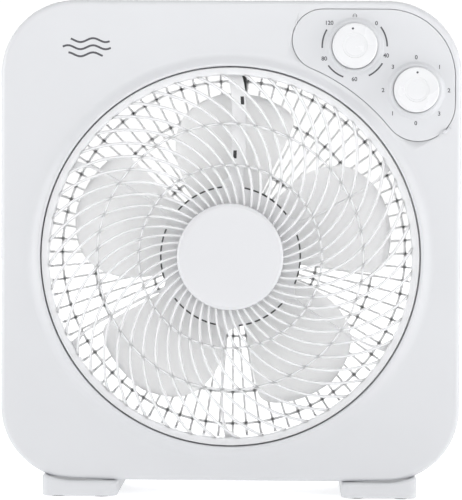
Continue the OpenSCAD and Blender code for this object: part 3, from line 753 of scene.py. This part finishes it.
def rear_shell(sizes, finish):
    """The rear shell, from the guard's seat over the back face and the wide rear edge to the parting line.

    The carry grip is a tray that drops from the two rails of its mouth to a flat floor."""
    seat, soft = GUARD_R + 0.4 * MM, 0.4 * MM
    reach = face_reach(sizes, sizes.rear_edge)
    theta, near, far, mouth = face_rails(grip_outline(sizes), seat, reach)
    direction, near = unit(theta), near[:, None]
    step_r = np.array([[sizes.duct_rear, seat - soft, seat, seat, seat + soft]]) + 0 * near
    step_h = REAR + np.array([[3.0, 3.0, 2.8, 0.3, 0.0]]) * MM + 0 * near
    face_r = seat + soft + (near - seat - soft) * np.linspace(0, 1, 5)[None, 1:]
    flat = direction[:, None, :] * np.concatenate([step_r, face_r], axis=1)[..., None]
    height = np.concatenate([step_h, REAR + 0 * face_r], axis=1)
    inner = sheet(at(flat[..., 0], flat[..., 1], height), wrap_rows=True)
    body = outer_side(theta, far, sizes, sizes.rear_edge, 13, REAR, SPLIT - sizes.seam / 2)

    low, high = (direction * near)[:mouth], (direction * far[:, None])[:mouth]
    loop = np.concatenate([low, high[-2:0:-1]])
    drop = np.array([0, 0.1, 0.5, 0.9, 1.0, 1.0])
    shrink = np.array([0, 0.01, 0.02, 0.03, 0.08, 1.0])
    tray = loop[:, None] + (loop.mean(axis=0) - loop)[:, None] * shrink[None, :, None]
    depth = REAR + sizes.grip_depth * drop[None, :]
    pocket = sheet(at(tray[..., 0], tray[..., 1], depth), wrap_rows=True, flip=True)
    piece = make_piece(
        "rear_shell", [inner, body, pocket], "housing", finish, ["rear_housing"],
        open_sheet=True,
    )
    return thicken(piece, sizes.wall)


def duct_wall(sizes, finish):
    """The duct: a turned tube from behind the spider's ring to the guard's seat."""
    inner, outer, front = sizes.duct_rear, sizes.duct_rear + sizes.wall, sizes.duct_front
    step, seat = REAR + 9 * MM, REAR + 3.2 * MM
    profile = [
        (inner, front), (inner + 0.4 * MM, front + 0.2 * MM), (outer, front), (outer, step),
        (GUARD_R, step), (GUARD_R, seat), (inner, seat),
    ]
    block = turned(profile, 240)
    return make_piece("duct_wall", [block], "housing", finish, ["rear_housing"])


# ---------------------------------------------------------------- feet


def foot(name, node, sizes, finish):
    """A foot: a rounded block whose top follows the housing's curve and rolls over at its edge.

    Each ring of the grid is the foot's plan drawn in by the roll, at a height that the curve of
    the housing's underside sets for its own place across."""
    low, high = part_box(node)
    mid_x, mid_y = (low.x + high.x) / 2, (low.y + high.y) / 2
    half_x, half_y, corner, roll = (high.x - low.x) / 2, (high.y - low.y) / 2, 7 * MM, 3.6 * MM
    turn = np.concatenate([np.linspace(0, TAU / 4, 12) + k * TAU / 4 for k in range(4)])
    quarter = np.repeat(np.arange(4), 12)
    side_x, side_y = np.array([1, -1, -1, 1])[quarter], np.array([1, 1, -1, -1])[quarter]
    base = np.stack([mid_x + side_x * (half_x - corner), mid_y + side_y * (half_y - corner)], axis=-1)
    rim, out = dense(base + unit(turn) * corner, 6), dense(unit(turn), 6)
    centre_x, centre_z = HALF_W - sizes.corner, HOUSING_LOW.z + sizes.corner
    bend = np.linspace(0, math.pi / 2, 8)[1:]
    soft = np.array([0.0, 0.3, 1.0]) * MM
    inset = np.concatenate([soft[::-1], [0], roll * (1 - np.cos(bend))])
    ring = rim[:, None] - out[:, None] * inset[None, :, None]
    past = np.maximum(np.abs(ring[..., 0]) - centre_x, 0)
    top = centre_z - np.sqrt(sizes.corner ** 2 - past ** 2) - 0.3 * MM
    z = top + np.concatenate([np.zeros(4), (np.sin(bend) - 1) * roll])[None, :]
    z[:, :3], z[:, 3] = low.z + soft, top[:, 3] - roll
    points = np.concatenate([ring, z[..., None]], axis=-1)
    block = sheet(points, wrap_rows=True)
    return make_piece(name, [block], "housing", finish, [node], flats=end_caps(points))


# ---------------------------------------------------------------- louver


def spoke_path(sizes, count=26):
    """A spoke's line: its angle grows evenly and then faster as the radius goes from cap to rim."""
    radius = np.linspace(CAP_R - 1 * MM, sizes.rim_in + 1 * MM, count)
    u = (radius - CAP_R) / (sizes.rim_in - CAP_R)
    angle = np.radians(sizes.sweep * u + sizes.curl * u * u)
    return np.stack([radius * np.cos(angle), radius * np.sin(angle)], axis=-1)


def louver_grille(sizes, finish):
    """Rim, two rings and centre plate turned about the axis, and the swept spokes between them."""
    front, back = front_of("louver_grille"), back_of("louver_grille")
    mid, depth = (sizes.spoke_front + sizes.spoke_back) / 2, sizes.spoke_front - sizes.spoke_back
    inner, outer, soft = sizes.rim_in, RIM_R, 1.2 * MM
    rim_back = back + 2 * MM
    rim = np.concatenate([
        arc((outer - soft, front - soft), soft, 0, 90, 6),
        arc((inner + 2.2 * MM, front - 2.2 * MM), 2.2 * MM, 90, 180, 8),
        [(inner, rim_back), (outer, rim_back)],
    ])
    blocks = [turned(rim, 320)]
    for radius in (sizes.ring_a, sizes.ring_b):
        section = soft_section(2.2 * MM, depth - 0.6 * MM, 2.6, 12) + [radius, mid]
        blocks.append(turned(section, 200))
    section = soft_section(sizes.spoke_w, depth, 2.6, 12)
    blocks.append(around(swept_bar(spoke_path(sizes), section, mid), sizes.spokes))
    hub_out, hub_in = CAP_R - 0.6 * MM, 4 * MM
    plate, boss = sizes.spoke_back + 3 * MM, 9 * MM
    hub = [
        (hub_out, sizes.spoke_back), (hub_out, plate), (hub_in, plate), (hub_in, back), (boss, back),
        (boss, sizes.spoke_back),
    ]
    blocks.append(turned(hub, 160))
    return make_piece("louver_grille_visual", blocks, "louver", finish, ["louver_grille"])


def louver_cap(skirt, finish):
    """The centre cap: a shallow dish turned about the axis with a bright bevelled edge."""
    top, r, wall = front_of("louver_cap"), CAP_R, 4 * MM
    floor, crown = top - 2.2 * MM, 0.8 * MM
    profile = np.concatenate([
        [(0.0, floor), (r - wall, floor), (r - wall, skirt), (r - 1.2 * MM, skirt)],
        [(r, skirt + 0.5 * MM), (r, floor)],
        arc((r - crown, floor), crown, 0, 45, 4)[1:],
        [(r - 2.6 * MM, top - 0.35 * MM), (r - 3.2 * MM, top - 0.18 * MM), (r - 6 * MM, top - 0.1 * MM)],
        [(r * 0.6, top - 0.03 * MM), (r * 0.3, top), (0.0, top)],
    ])
    block = turned(profile, 200, closed=False)
    return make_piece(
        "louver_cap_visual", [block], "louver", finish, ["louver_cap"], sharp=25
    )


# ---------------------------------------------------------------- spider


def bow(sizes, radius):
    """Sideways bow of an arm, flat in the middle and gone at both ends."""
    return sizes.bow * (1 - ((radius - sizes.bow_middle) / sizes.bow_half) ** 4)


def arm_path(sizes, shift=0.0, count=22):
    """Middle line of an arm that runs out to the right, from inside the cup's edge to inside the ring."""
    radius = np.linspace(sizes.cup - MM, sizes.ring_in + MM, count)
    return np.stack([radius, shift - bow(sizes, radius)], axis=-1)


def flare(sizes, start, end, left, right, power, depth, count=12):
    """A web that leaves both sides of an arm: each side goes out by an even part and by a late curl.

    left and right hold, for each side, how far it goes as s^1.5 and as s^power."""
    u = np.linspace(0, 1, count)
    radius = start + (end - start) * u
    low, high = (sizes.wall / 2 + side[0] * u ** 1.5 + side[1] * u ** power for side in (left, right))
    path = np.stack([radius, (high - low) / 2 - bow(sizes, radius)], axis=-1)
    unit_section = soft_section(1.0, 1.0, 6.0, 14)
    section = unit_section[None] * np.stack([low + high, depth + 0 * low], axis=-1)[:, None, :]
    return swept_bar(path, section, sizes.front - depth / 2)


def front_spider(sizes, finish):
    """The cup and ring turned about the axis, five thin bowed arms and the wide wire channel."""
    front, wall, cup_r, edge, rounding = sizes.front, sizes.wall, sizes.cup, 1.4 * MM, 0.4 * MM
    cup = [
        (0.0, front), (cup_r - edge, front), (cup_r - rounding, front - rounding), (cup_r, front - edge),
        (cup_r, sizes.cup_back), (cup_r - wall, sizes.cup_back), (cup_r - wall, front - wall),
        (0.0, front - wall),
    ]
    ring_front, ring_back = sizes.ring_front, sizes.ring_front - sizes.ring_depth
    ring = [
        (sizes.ring_in, ring_back), (sizes.ring_in, ring_front), (sizes.ring_out, ring_front),
        (sizes.ring_out, ring_back),
    ]
    blocks = [turned(cup, 180, closed=False), turned(ring, 240)]
    cup_end, ring_end, mid = cup_r - MM, sizes.ring_in + MM, (front + sizes.back) / 2
    fin = soft_section(wall, front - sizes.back, 5.0, 14)
    arm = merged(
        swept_bar(arm_path(sizes), fin, mid),
        flare(sizes, ring_end - 16 * MM, ring_end, (0, 5 * MM), (6 * MM, 3 * MM), 10, 8 * MM),
        flare(sizes, cup_end + 10 * MM, cup_end, (4 * MM, 6 * MM), (2 * MM, 5 * MM), 4, 8 * MM),
    )
    for k in (0, 2, 3, 4, 5):
        blocks.append(around(arm, 1, math.radians(30 + 60 * k)))
    half = (sizes.channel - wall) / 2
    cover = soft_section(sizes.channel, wall, 8.0, 20)
    channel = merged(
        swept_bar(arm_path(sizes), cover, front - wall / 2),
        swept_bar(arm_path(sizes, -half), fin, mid),
        swept_bar(arm_path(sizes, half), fin, mid),
        flare(sizes, cup_end + 23 * MM, cup_end, (half, 3 * MM), (half + 3 * MM, 3 * MM), 4, 3 * MM),
        flare(sizes, ring_end - 9 * MM, ring_end, (half, 2 * MM), (half, 3 * MM), 4, 3 * MM),
    )
    blocks.append(around(channel, 1, math.pi / 2))
    return make_piece("front_spider_visual", blocks, "housing", finish, ["front_spider"])


def cup_painted_shadow(sizes, finish):
    """Painted shadow: a thin black ring set where there is only the shade of the gap round the cup's edge,
    broken where each arm runs in.
    """
    profile = soft_section(1.3 * MM, 0.5 * MM, 2.0, 8) + [sizes.cup - 0.3 * MM, sizes.front]
    half = math.radians(20.8)
    middles = (math.radians(60 * k - 2) for k in range(6))
    blocks = [turned(profile, 40, span=(middle - half, middle + half)) for middle in middles]
    # Painted shadow: the black finish stands in for the shade in the gap round the cup, it is not a part of
    # the fan.
    return make_piece("cup_painted_shadow_line", blocks, "housing", finish)


# ---------------------------------------------------------------- impeller


def blade_block(sizes, rows=34, columns=30):
    """One blade: across the chord it rises from the rear edge to the forward edge with a shallow camber.

    Its edges draw together at the tip as high powers of the station, and its thickness falls off
    as the square root of the distance to each edge."""
    root = sizes.hub - 1.5 * MM
    u = np.linspace(0, 1, rows)
    station = 1 - (1 - u) ** 1.9
    radius = root + (sizes.tip - root) * station
    free = np.clip((radius - sizes.free_root) / (sizes.tip - sizes.free_root), 0, 1)
    low = np.radians(64.5 + 15.5 * free ** 16)
    high = np.radians(123 - 18.5 * free ** 2 - 12 * free ** 12)
    half = (1 - np.cos(np.linspace(0, math.pi, columns))) / 2
    chord = np.concatenate([half, half[-2:0:-1]])
    side = np.concatenate([np.ones(columns), -np.ones(columns - 2)])
    side[[0, columns - 1]] = 0.0
    angle = low[:, None] + (high - low)[:, None] * chord
    rise = sizes.root_rise + (sizes.tip_rise - sizes.root_rise) * free[:, None]
    thick = sizes.thickness / 2 * np.clip(4 * chord * (1 - chord) * 6, 0, 1) ** 0.5
    height = 1 * MM + rise * (chord - 0.5) + 2.5 * MM * np.sin(math.pi * chord) + side * thick
    points = at(radius[:, None] * np.cos(angle), radius[:, None] * np.sin(angle), height)
    upper = points[-1:, :columns]
    lower = np.concatenate([upper[:, :1], points[-1:, columns:][:, ::-1], upper[:, -1:]], axis=1)
    tip = (upper + lower) / 2
    closing = np.concatenate([tip, tip[:, -2:0:-1]], axis=1)
    first = points[:1].mean(axis=1, keepdims=True) + 0 * points[:1]
    grid = np.concatenate([first, points, closing])
    values = np.tile(chord, len(grid))
    return sheet(grid, wrap_columns=True), values


def impeller(sizes, finish):
    """The hub turned about the axis and the blades around it."""
    block, values = blade_block(sizes)
    blades = around(block, sizes.blades)
    r, front, back, bend = sizes.hub, 20 * MM, -18 * MM, 4 * MM
    inside, boss, boss_back, bore = r - 3 * MM, 9 * MM, -4 * MM, shaft_radius()
    hub = np.concatenate([
        [(bore, front), (r - bend, front)],
        arc((r - bend, front - bend), bend, 90, 0, 8)[1:],
        [(r, back), (inside, back), (inside, front - bend), (boss, front - bend)],
        [(boss, boss_back), (bore, boss_back)],
    ])
    return make_piece(
        "impeller_visual", [blades, turned(hub, 160)], "impeller", finish, ["impeller"],
        chord=np.tile(values, sizes.blades),
    )


def shaft_radius():
    """Radius of the motor shaft."""
    low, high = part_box("motor_shaft")
    return (high.x - low.x) / 2


# ---------------------------------------------------------------- rear guard


def rear_guard(sizes, finish):
    """Flange, rim, rings and motor plate turned about the axis, with the straight ribs between."""
    front, back = -58 * MM, REAR + 1 * MM
    mid, depth = (front + back) / 2, front - back
    seat, soft = REAR + 3 * MM, 0.4 * MM
    flange = [
        (GUARD_R, seat), (sizes.rim_in, seat), (sizes.rim_in, REAR + soft), (sizes.rim_in + soft, REAR),
        (GUARD_R - soft, REAR), (GUARD_R, REAR + soft),
    ]
    blocks = [turned(flange, 320)]
    for radius in (sizes.ring_a, sizes.ring_b, sizes.ring_c):
        blocks.append(turned(soft_section(2.6 * MM, depth, 3.0, 12) + [radius, mid], 200))
    r, edge, dish, boss = sizes.plate, 0.8 * MM, back + 1.2 * MM, back + 0.2 * MM
    plate = [
        (0.0, front), (r - edge, front), (r, front - edge), (r, back + edge), (r - edge, back),
        (r - 6 * MM, back), (r - 7 * MM, dish), (r * 0.45, dish), (r * 0.43, boss), (0.0, boss),
    ]
    blocks.append(turned(plate, 160, closed=False))
    full = np.linspace(r - MM, sizes.reach - 0.3 * MM, 7)
    radius = np.array([*full, sizes.reach, sizes.rim_in + MM])
    section = np.repeat(soft_section(sizes.rib_w, depth, 3.0, 12)[None], len(radius), axis=0)
    section[-2:, :, 1] = np.minimum(section[-2:, :, 1], seat - mid)
    path = np.stack([radius, 0 * radius], axis=-1)
    blocks.append(around(swept_bar(path, section, mid), sizes.ribs))
    outer, bore, post_front = 5.5 * MM, 2.2 * MM, -50.1 * MM
    post = [(outer, front + 0.1 * MM), (outer, post_front), (bore, post_front), (bore, front)]
    points, quads = turned(post, 32)
    blocks.append(around((points + [33 * MM, 0, 0], quads), 4, math.pi / 4))
    return make_piece("rear_guard_visual", blocks, "housing", finish, ["rear_guard"])


# ---------------------------------------------------------------- controls


def control_panel(sizes, finish):
    """The panel: its outline carried over a small rounded edge, and a collar round each knob."""
    edge = 0.5 * MM
    loops, heights = [], []
    steps = ((0, -2.4 * MM), (0, -edge), (-edge * 0.3, -edge * 0.3), (-edge, 0), (-2.4 * edge, 0))
    for grow, drop in steps:
        loops.append(panel_outline(sizes, grow))
        heights.append(FRONT + drop)
    ring = np.stack(loops, axis=1)
    points = at(ring[..., 0], ring[..., 1], np.array(heights)[None, :] + 0 * ring[..., 0])
    blocks = [sheet(points, wrap_rows=True)]
    top, inner, outer = FRONT + 3.2 * MM, KNOB_R + 0.4 * MM, sizes.collar
    collar = np.concatenate([
        [(inner, FRONT - 0.4 * MM), (inner, top - 0.4 * MM), (inner + 0.4 * MM, top)],
        arc((outer - 2.6 * MM, top - 1.8 * MM), 1.8 * MM, 90, 20, 6),
        arc((outer + 1.6 * MM, FRONT + 1.5 * MM), 1.5 * MM, 200, 270, 5),
        [(outer + 1.6 * MM, FRONT - 0.4 * MM)],
    ])
    for centre in (TIMER_AT, SPEED_AT):
        blocks.append(turned(collar, 128, centre))
    return make_piece(
        "control_panel_visual", blocks, "housing", finish, ["control_panel"],
        flats=end_caps(points), sharp=32,
    )


def clock(place):
    """Angle from the right, in radians, of a place given in degrees clockwise from the top."""
    return math.radians(90 - place)


def on_dial(centre, place, reach):
    """A spot round a dial's centre."""
    t = clock(place)
    return centre[0] + reach * math.cos(t), centre[1] + reach * math.sin(t)


def knob(name, node, body, centre, dot_angle, finish, ink):
    """A knob turned about its own axis with a crowned rim and two shallow rings, and its pointer dot."""
    front, back, r = front_of(node), back_of(node), KNOB_R
    bore, boss, inside, roof, crown = 3 * MM, 6 * MM, r - 2 * MM, front - 4 * MM, 1.6 * MM
    rings = np.array(
        [(11.6, 0.45), (10.9, 0.5), (10.5, 0.95), (9.2, 1.0), (8.7, 1.25), (8.0, 1.3), (0.0, 1.3)]
    )
    profile = np.concatenate([
        [(bore, back), (boss, back), (boss, roof), (inside, roof), (inside, back)],
        [(r - 0.3 * MM, back), (r, back + 0.5 * MM)],
        arc((r - crown, front - crown), crown, 0, 90, 8),
        [(r - 3.4 * MM, front - 0.25 * MM)],
        np.array([0, front]) + rings * [MM, -MM],
        [(0.0, front - 6 * MM), (bore, front - 6 * MM)],
    ])
    piece = make_piece(
        name + "_visual", [turned(profile, 128, centre)], body, finish, [node], sharp=22
    )
    spot = on_dial(centre, dot_angle, 14.8 * MM)
    face = front - 0.28 * MM
    drop = np.array([0, face]) + np.array([(0, -0.6), (1, -0.6), (1, 0), (0.8, 0.08), (0, 0.08)]) * MM
    make_piece(name + "_dot", [turned(drop, 24, spot, closed=False)], body, ink)
    return piece


def printed_arc(name, centre, radius, width, start, end, ink):
    """A thin printed arc between two places given clockwise from the top."""
    inner, outer = radius - width / 2, radius + width / 2
    under, over = FRONT - 0.05 * MM, FRONT + INK_DEPTH
    profile = [(inner, under), (inner, over), (outer, over), (outer, under)]
    block = turned(profile, 24, centre, span=(clock(end), clock(start)))
    return make_piece(name, [block], "housing", ink)


def printed_number(name, words, centre, height, ink):
    """A printed number: a text outline with a hair of depth, made a mesh and laid on the panel."""
    curve = bpy.data.curves.new(name, "FONT")
    curve.body = words
    curve.size = height * 1.42
    curve.extrude = INK_DEPTH
    curve.offset = height * 0.035
    curve.align_x, curve.align_y = "CENTER", "CENTER"
    holder = bpy.data.objects.new(name + "_text", curve)
    mesh = bpy.data.meshes.new_from_object(holder)
    bpy.data.objects.remove(holder)
    spots = np.empty(len(mesh.vertices) * 3)
    mesh.vertices.foreach_get("co", spots)
    spots = spots.reshape(-1, 3)
    middle = (spots.min(axis=0) + spots.max(axis=0)) / 2
    placed = at(spots[:, 0] - middle[0], spots[:, 1] - middle[1], FRONT + spots[:, 2], centre)
    mesh.vertices.foreach_set("co", placed.ravel())
    mesh.name = name
    mesh.materials.append(ink)
    piece = bpy.data.objects.new(name, mesh)
    bpy.context.scene.collection.objects.link(piece)
    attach(piece, "housing")
    return piece


def printed_marks(sizes, ink):
    """The dials: minutes round the timer, speeds round the switch, and an airflow sign at the top left."""
    for place, words in ((43, "0"), (106, "40"), (180, "60"), (248, "80"), (313, "120")):
        reach = (27.6 + 0.8 * (len(words) - 1) ** 1.5) * MM
        printed_number(f"minutes_{place}", words, on_dial(TIMER_AT, place, reach), sizes.digit, ink)
    for start, end in ((53, 90), (121, 154), (200, 234), (267, 301)):
        printed_arc(f"minutes_arc_{start}", TIMER_AT, 28.2 * MM, 1.4 * MM, start, end, ink)

    sign, half = (TIMER_AT[0], TIMER_AT[1] + 26.4 * MM), 1.6 * MM
    stroke = soft_section(0.45 * MM, 0.1 * MM, 4.0, 8)
    ring = turned(stroke + [1.7 * MM, FRONT + 0.02 * MM], 40, sign)
    line = np.stack([sign[0] + np.linspace(-half, half, 5), np.full(5, sign[1])], axis=-1)
    make_piece("hold_sign", [ring, swept_bar(line, stroke, FRONT)], "housing", ink)
    for k in range(8):
        spot = on_dial(SPEED_AT, 45 * k, 28.6 * MM)
        printed_number(f"speed_{k}", str(k % 4), spot, sizes.digit, ink)

    blocks, stroke = [], soft_section(1.8 * MM, 0.12 * MM, 4.0, 8)
    left, up, spacing, swing, wave = -126 * MM, 182 * MM, 6.2 * MM, 1.7 * MM, 22 * MM
    for row, (start, end) in enumerate(((-14, 20), (-21, 21), (-16, 14))):
        x = np.linspace(start, end, 40) * MM
        y = (1 - row) * spacing + swing * np.sin(x / wave * TAU)
        blocks.append(swept_bar(np.stack([left + x, up + y], axis=-1), stroke, FRONT))
    make_piece("airflow_sign", blocks, "housing", ink)


# ---------------------------------------------------------------- stage


CAMERA_AT, CAMERA_AIM = Vector((0.055, -2.069, 0.278)), Vector((0.0008, -0.057, 0.2170))
CAMERA_LENS, CAMERA_ROLL = 166.4, math.radians(0.3)
LAMPS_AIM = Vector((0, 0, 0.22))
LAMPS = (  # name, place, size in metres and power in watts
    ("lamp_front", (0.2, -2.2, 1.3), 1.6, 16.0),
    ("lamp_left", (-1.6, -1.5, 1.3), 1.4, 4.0),
    ("lamp_right", (1.7, -1.2, 1.0), 1.2, 4.0),
    ("strip_left", (-1.28, -0.28, 0.35), 0.9, 6.5),
    ("strip_right", (1.28, -0.28, 0.35), 0.9, 6.5),
    ("strip_top", (0.0, -0.28, 1.5), 0.9, 3.0),
)


def floor_plane(colours):
    """A pale floor that glows a little, and more away from the fan."""
    bpy.ops.mesh.primitive_plane_add(size=12.0, location=(0, 0, 0))
    floor = bpy.context.object
    floor.name = "floor"
    paper = plastic("light_table", colours.floor, gloss=(0.7, 0.8), coat=0.0, bump=0.0)
    tree = paper.node_tree
    shader = next(node for node in tree.nodes if node.type == "BSDF_PRINCIPLED")
    reach = tree.nodes.new("ShaderNodeVectorMath")
    reach.operation = "LENGTH"
    tree.links.new(tree.nodes.new("ShaderNodeTexCoord").outputs["Object"], reach.inputs[0])
    glow = map_range(tree, reach.outputs["Value"], 0.3, 1.2, 0.6, 1.0)
    tree.links.new(glow, shader.inputs["Emission Color"])
    shader.inputs["Emission Strength"].default_value = 0.85
    floor.data.materials.append(paper)


def surround():
    """The light all round: even, brighter from behind the fan, and plain white to the camera."""
    world = bpy.data.worlds.new("studio")
    bpy.context.scene.world = world
    world.use_nodes = True
    tree = world.node_tree
    tree.nodes.clear()
    split = tree.nodes.new("ShaderNodeSeparateXYZ")
    tree.links.new(tree.nodes.new("ShaderNodeTexCoord").outputs["Generated"], split.inputs["Vector"])
    strength = map_range(tree, split.outputs["Y"], 0.75, 0.9, 0.40, 4.0)
    seen = tree.nodes.new("ShaderNodeLightPath").outputs["Is Camera Ray"]
    background = tree.nodes.new("ShaderNodeBackground")
    background.inputs["Color"].default_value = (1, 1, 1, 1)
    tree.links.new(map_range(tree, seen, 0.0, 1.0, strength, 1.05), background.inputs["Strength"])
    output = tree.nodes.new("ShaderNodeOutputWorld")
    tree.links.new(background.outputs["Background"], output.inputs["Surface"])


def add_lamp(name, spot, size, power):
    """A soft square lamp turned to the middle of the fan."""
    data = bpy.data.lights.new(name, "AREA")
    data.shape, data.size, data.energy = "SQUARE", size, power
    lamp = bpy.data.objects.new(name, data)
    bpy.context.scene.collection.objects.link(lamp)
    lamp.location = spot
    lamp.rotation_euler = (LAMPS_AIM - Vector(spot)).to_track_quat("-Z", "Y").to_euler()


def add_camera():
    """The camera, a little to the right of the fan's middle, with a slight roll."""
    scene = bpy.context.scene
    data = bpy.data.cameras.new("camera")
    data.lens, data.sensor_width = CAMERA_LENS, 36.0
    camera = bpy.data.objects.new("camera", data)
    scene.collection.objects.link(camera)
    camera.location = CAMERA_AT
    camera.rotation_mode = "QUATERNION"
    turn = (CAMERA_AIM - CAMERA_AT).to_track_quat("-Z", "Y")
    camera.rotation_quaternion = turn @ Quaternion((0, 0, 1), CAMERA_ROLL)
    scene.camera = camera
    scene.view_settings.view_transform = "Standard"
    scene.view_settings.look = "None"


# ---------------------------------------------------------------- operators


class FanOperator(bpy.types.Operator):
    """Shared base: an operator that builds one piece or one group of like pieces"""

    bl_options = {"REGISTER", "UNDO"}

    def execute(self, context):
        scene = context.scene
        self.build(scene, scene.fan_finish)
        return {"FINISHED"}


class FAN_OT_inside(FanOperator):
    """Gives every piece that comes from CAD its finish"""

    bl_idname = "fan.inside"
    bl_label = "Motor, screws and leads"

    def build(self, scene, colours):
        slots = {entry["node"]: entry["material_slot"] for entry in frame["record"]["subparts"]}
        for node, piece in frame["nodes"].items():
            piece.data.materials.clear()
            piece.data.materials.append(finish_for(slots[node], colours))


class FAN_OT_shells(FanOperator):
    """Builds the front shell, the rear shell and the duct"""

    bl_idname = "fan.shells"
    bl_label = "Shells"

    def build(self, scene, colours):
        finish = finish_for("housing_white", colours)
        front_shell(scene.fan_housing, scene.fan_controls, finish)
        rear_shell(scene.fan_housing, finish)
        duct_wall(scene.fan_housing, finish)


class FAN_OT_feet(FanOperator):
    """Builds both feet"""

    bl_idname = "fan.feet"
    bl_label = "Feet"

    def build(self, scene, colours):
        finish = finish_for("foot_white", colours)
        for side in ("left", "right"):
            foot(f"foot_{side}_visual", f"foot_{side}", scene.fan_housing, finish)


class FAN_OT_louver(FanOperator):
    """Builds the louver grille and its cap"""

    bl_idname = "fan.louver"
    bl_label = "Louver"

    def build(self, scene, colours):
        louver_grille(scene.fan_louver, finish_for("louver_white", colours))
        louver_cap(scene.fan_louver.skirt, plastic("cap_white", colours.cap, gloss=(0.3, 0.4), bump=0.02))


class FAN_OT_spider(FanOperator):
    """Builds the fixed spider behind the louver and the painted shadow line round its cup"""

    bl_idname = "fan.spider"
    bl_label = "Spider"

    def build(self, scene, colours):
        front_spider(scene.fan_spider, finish_for("spider_grey", colours))
        # The black ring round the cup is painted shadow standing in for the shade in the gap.
        cup_painted_shadow(scene.fan_spider, finish_for("black_plastic", colours))


class FAN_OT_impeller(FanOperator):
    """Builds the impeller"""

    bl_idname = "fan.impeller"
    bl_label = "Impeller"

    def build(self, scene, colours):
        impeller(scene.fan_impeller, finish_for("blade_milky", colours))


class FAN_OT_guard(FanOperator):
    """Builds the rear guard"""

    bl_idname = "fan.guard"
    bl_label = "Rear guard"

    def build(self, scene, colours):
        rear_guard(scene.fan_guard, finish_for("guard_white", colours))


class FAN_OT_controls(FanOperator):
    """Builds the control panel, its knobs and its printed marks"""

    bl_idname = "fan.controls"
    bl_label = "Controls"

    def build(self, scene, colours):
        ink = plastic("print_ink", colours.print, gloss=(0.5, 0.6), coat=0.0)
        white = finish_for("knob_white", colours)
        control_panel(scene.fan_controls, finish_for("panel_white", colours))
        knob("timer_knob", "timer_knob", "timer_knob", TIMER_AT, -7.6, white, ink)
        knob("speed_knob", "speed_knob", "speed_knob", SPEED_AT, 2.0, white, ink)
        printed_marks(scene.fan_controls, ink)


class FAN_OT_stage(FanOperator):
    """Sets the floor, the light and the camera"""

    bl_idname = "fan.stage"
    bl_label = "Stage"

    def build(self, scene, colours):
        floor_plane(colours)
        surround()
        for lamp in LAMPS:
            add_lamp(*lamp)
        add_camera()


OPERATORS = (
    FAN_OT_stage, FAN_OT_inside, FAN_OT_shells, FAN_OT_feet, FAN_OT_louver, FAN_OT_spider, FAN_OT_impeller,
    FAN_OT_guard, FAN_OT_controls,
)


class FAN_PT_panel(bpy.types.Panel):
    """Lists the operators, the sizes and the colours in the sidebar"""

    bl_label = "Box Fan"
    bl_idname = "FAN_PT_panel"
    bl_space_type = "VIEW_3D"
    bl_region_type = "UI"
    bl_category = "Fan"

    def draw(self, context):
        for operator in OPERATORS:
            self.layout.operator(operator.bl_idname)
        for name, group in GROUPS.items():
            box = self.layout.box()
            for label in group.__annotations__:
                box.prop(getattr(context.scene, name), label)


def register():
    """Registers the size groups, the operators and the panel."""
    for name, group in GROUPS.items():
        bpy.utils.register_class(group)
        setattr(bpy.types.Scene, name, PointerProperty(type=group))
    for item in (*OPERATORS, FAN_PT_panel):
        bpy.utils.register_class(item)


def unregister():
    """Undoes what register does."""
    for item in (FAN_PT_panel, *reversed(OPERATORS)):
        bpy.utils.unregister_class(item)
    for name, group in reversed(GROUPS.items()):
        delattr(bpy.types.Scene, name)
        bpy.utils.unregister_class(group)


def main():
    """Builds the whole fan."""
    register()
    for operator in OPERATORS:
        area, _, call = operator.bl_idname.partition(".")
        getattr(getattr(bpy.ops, area), call)()


if __name__ == "__main__":
    main()
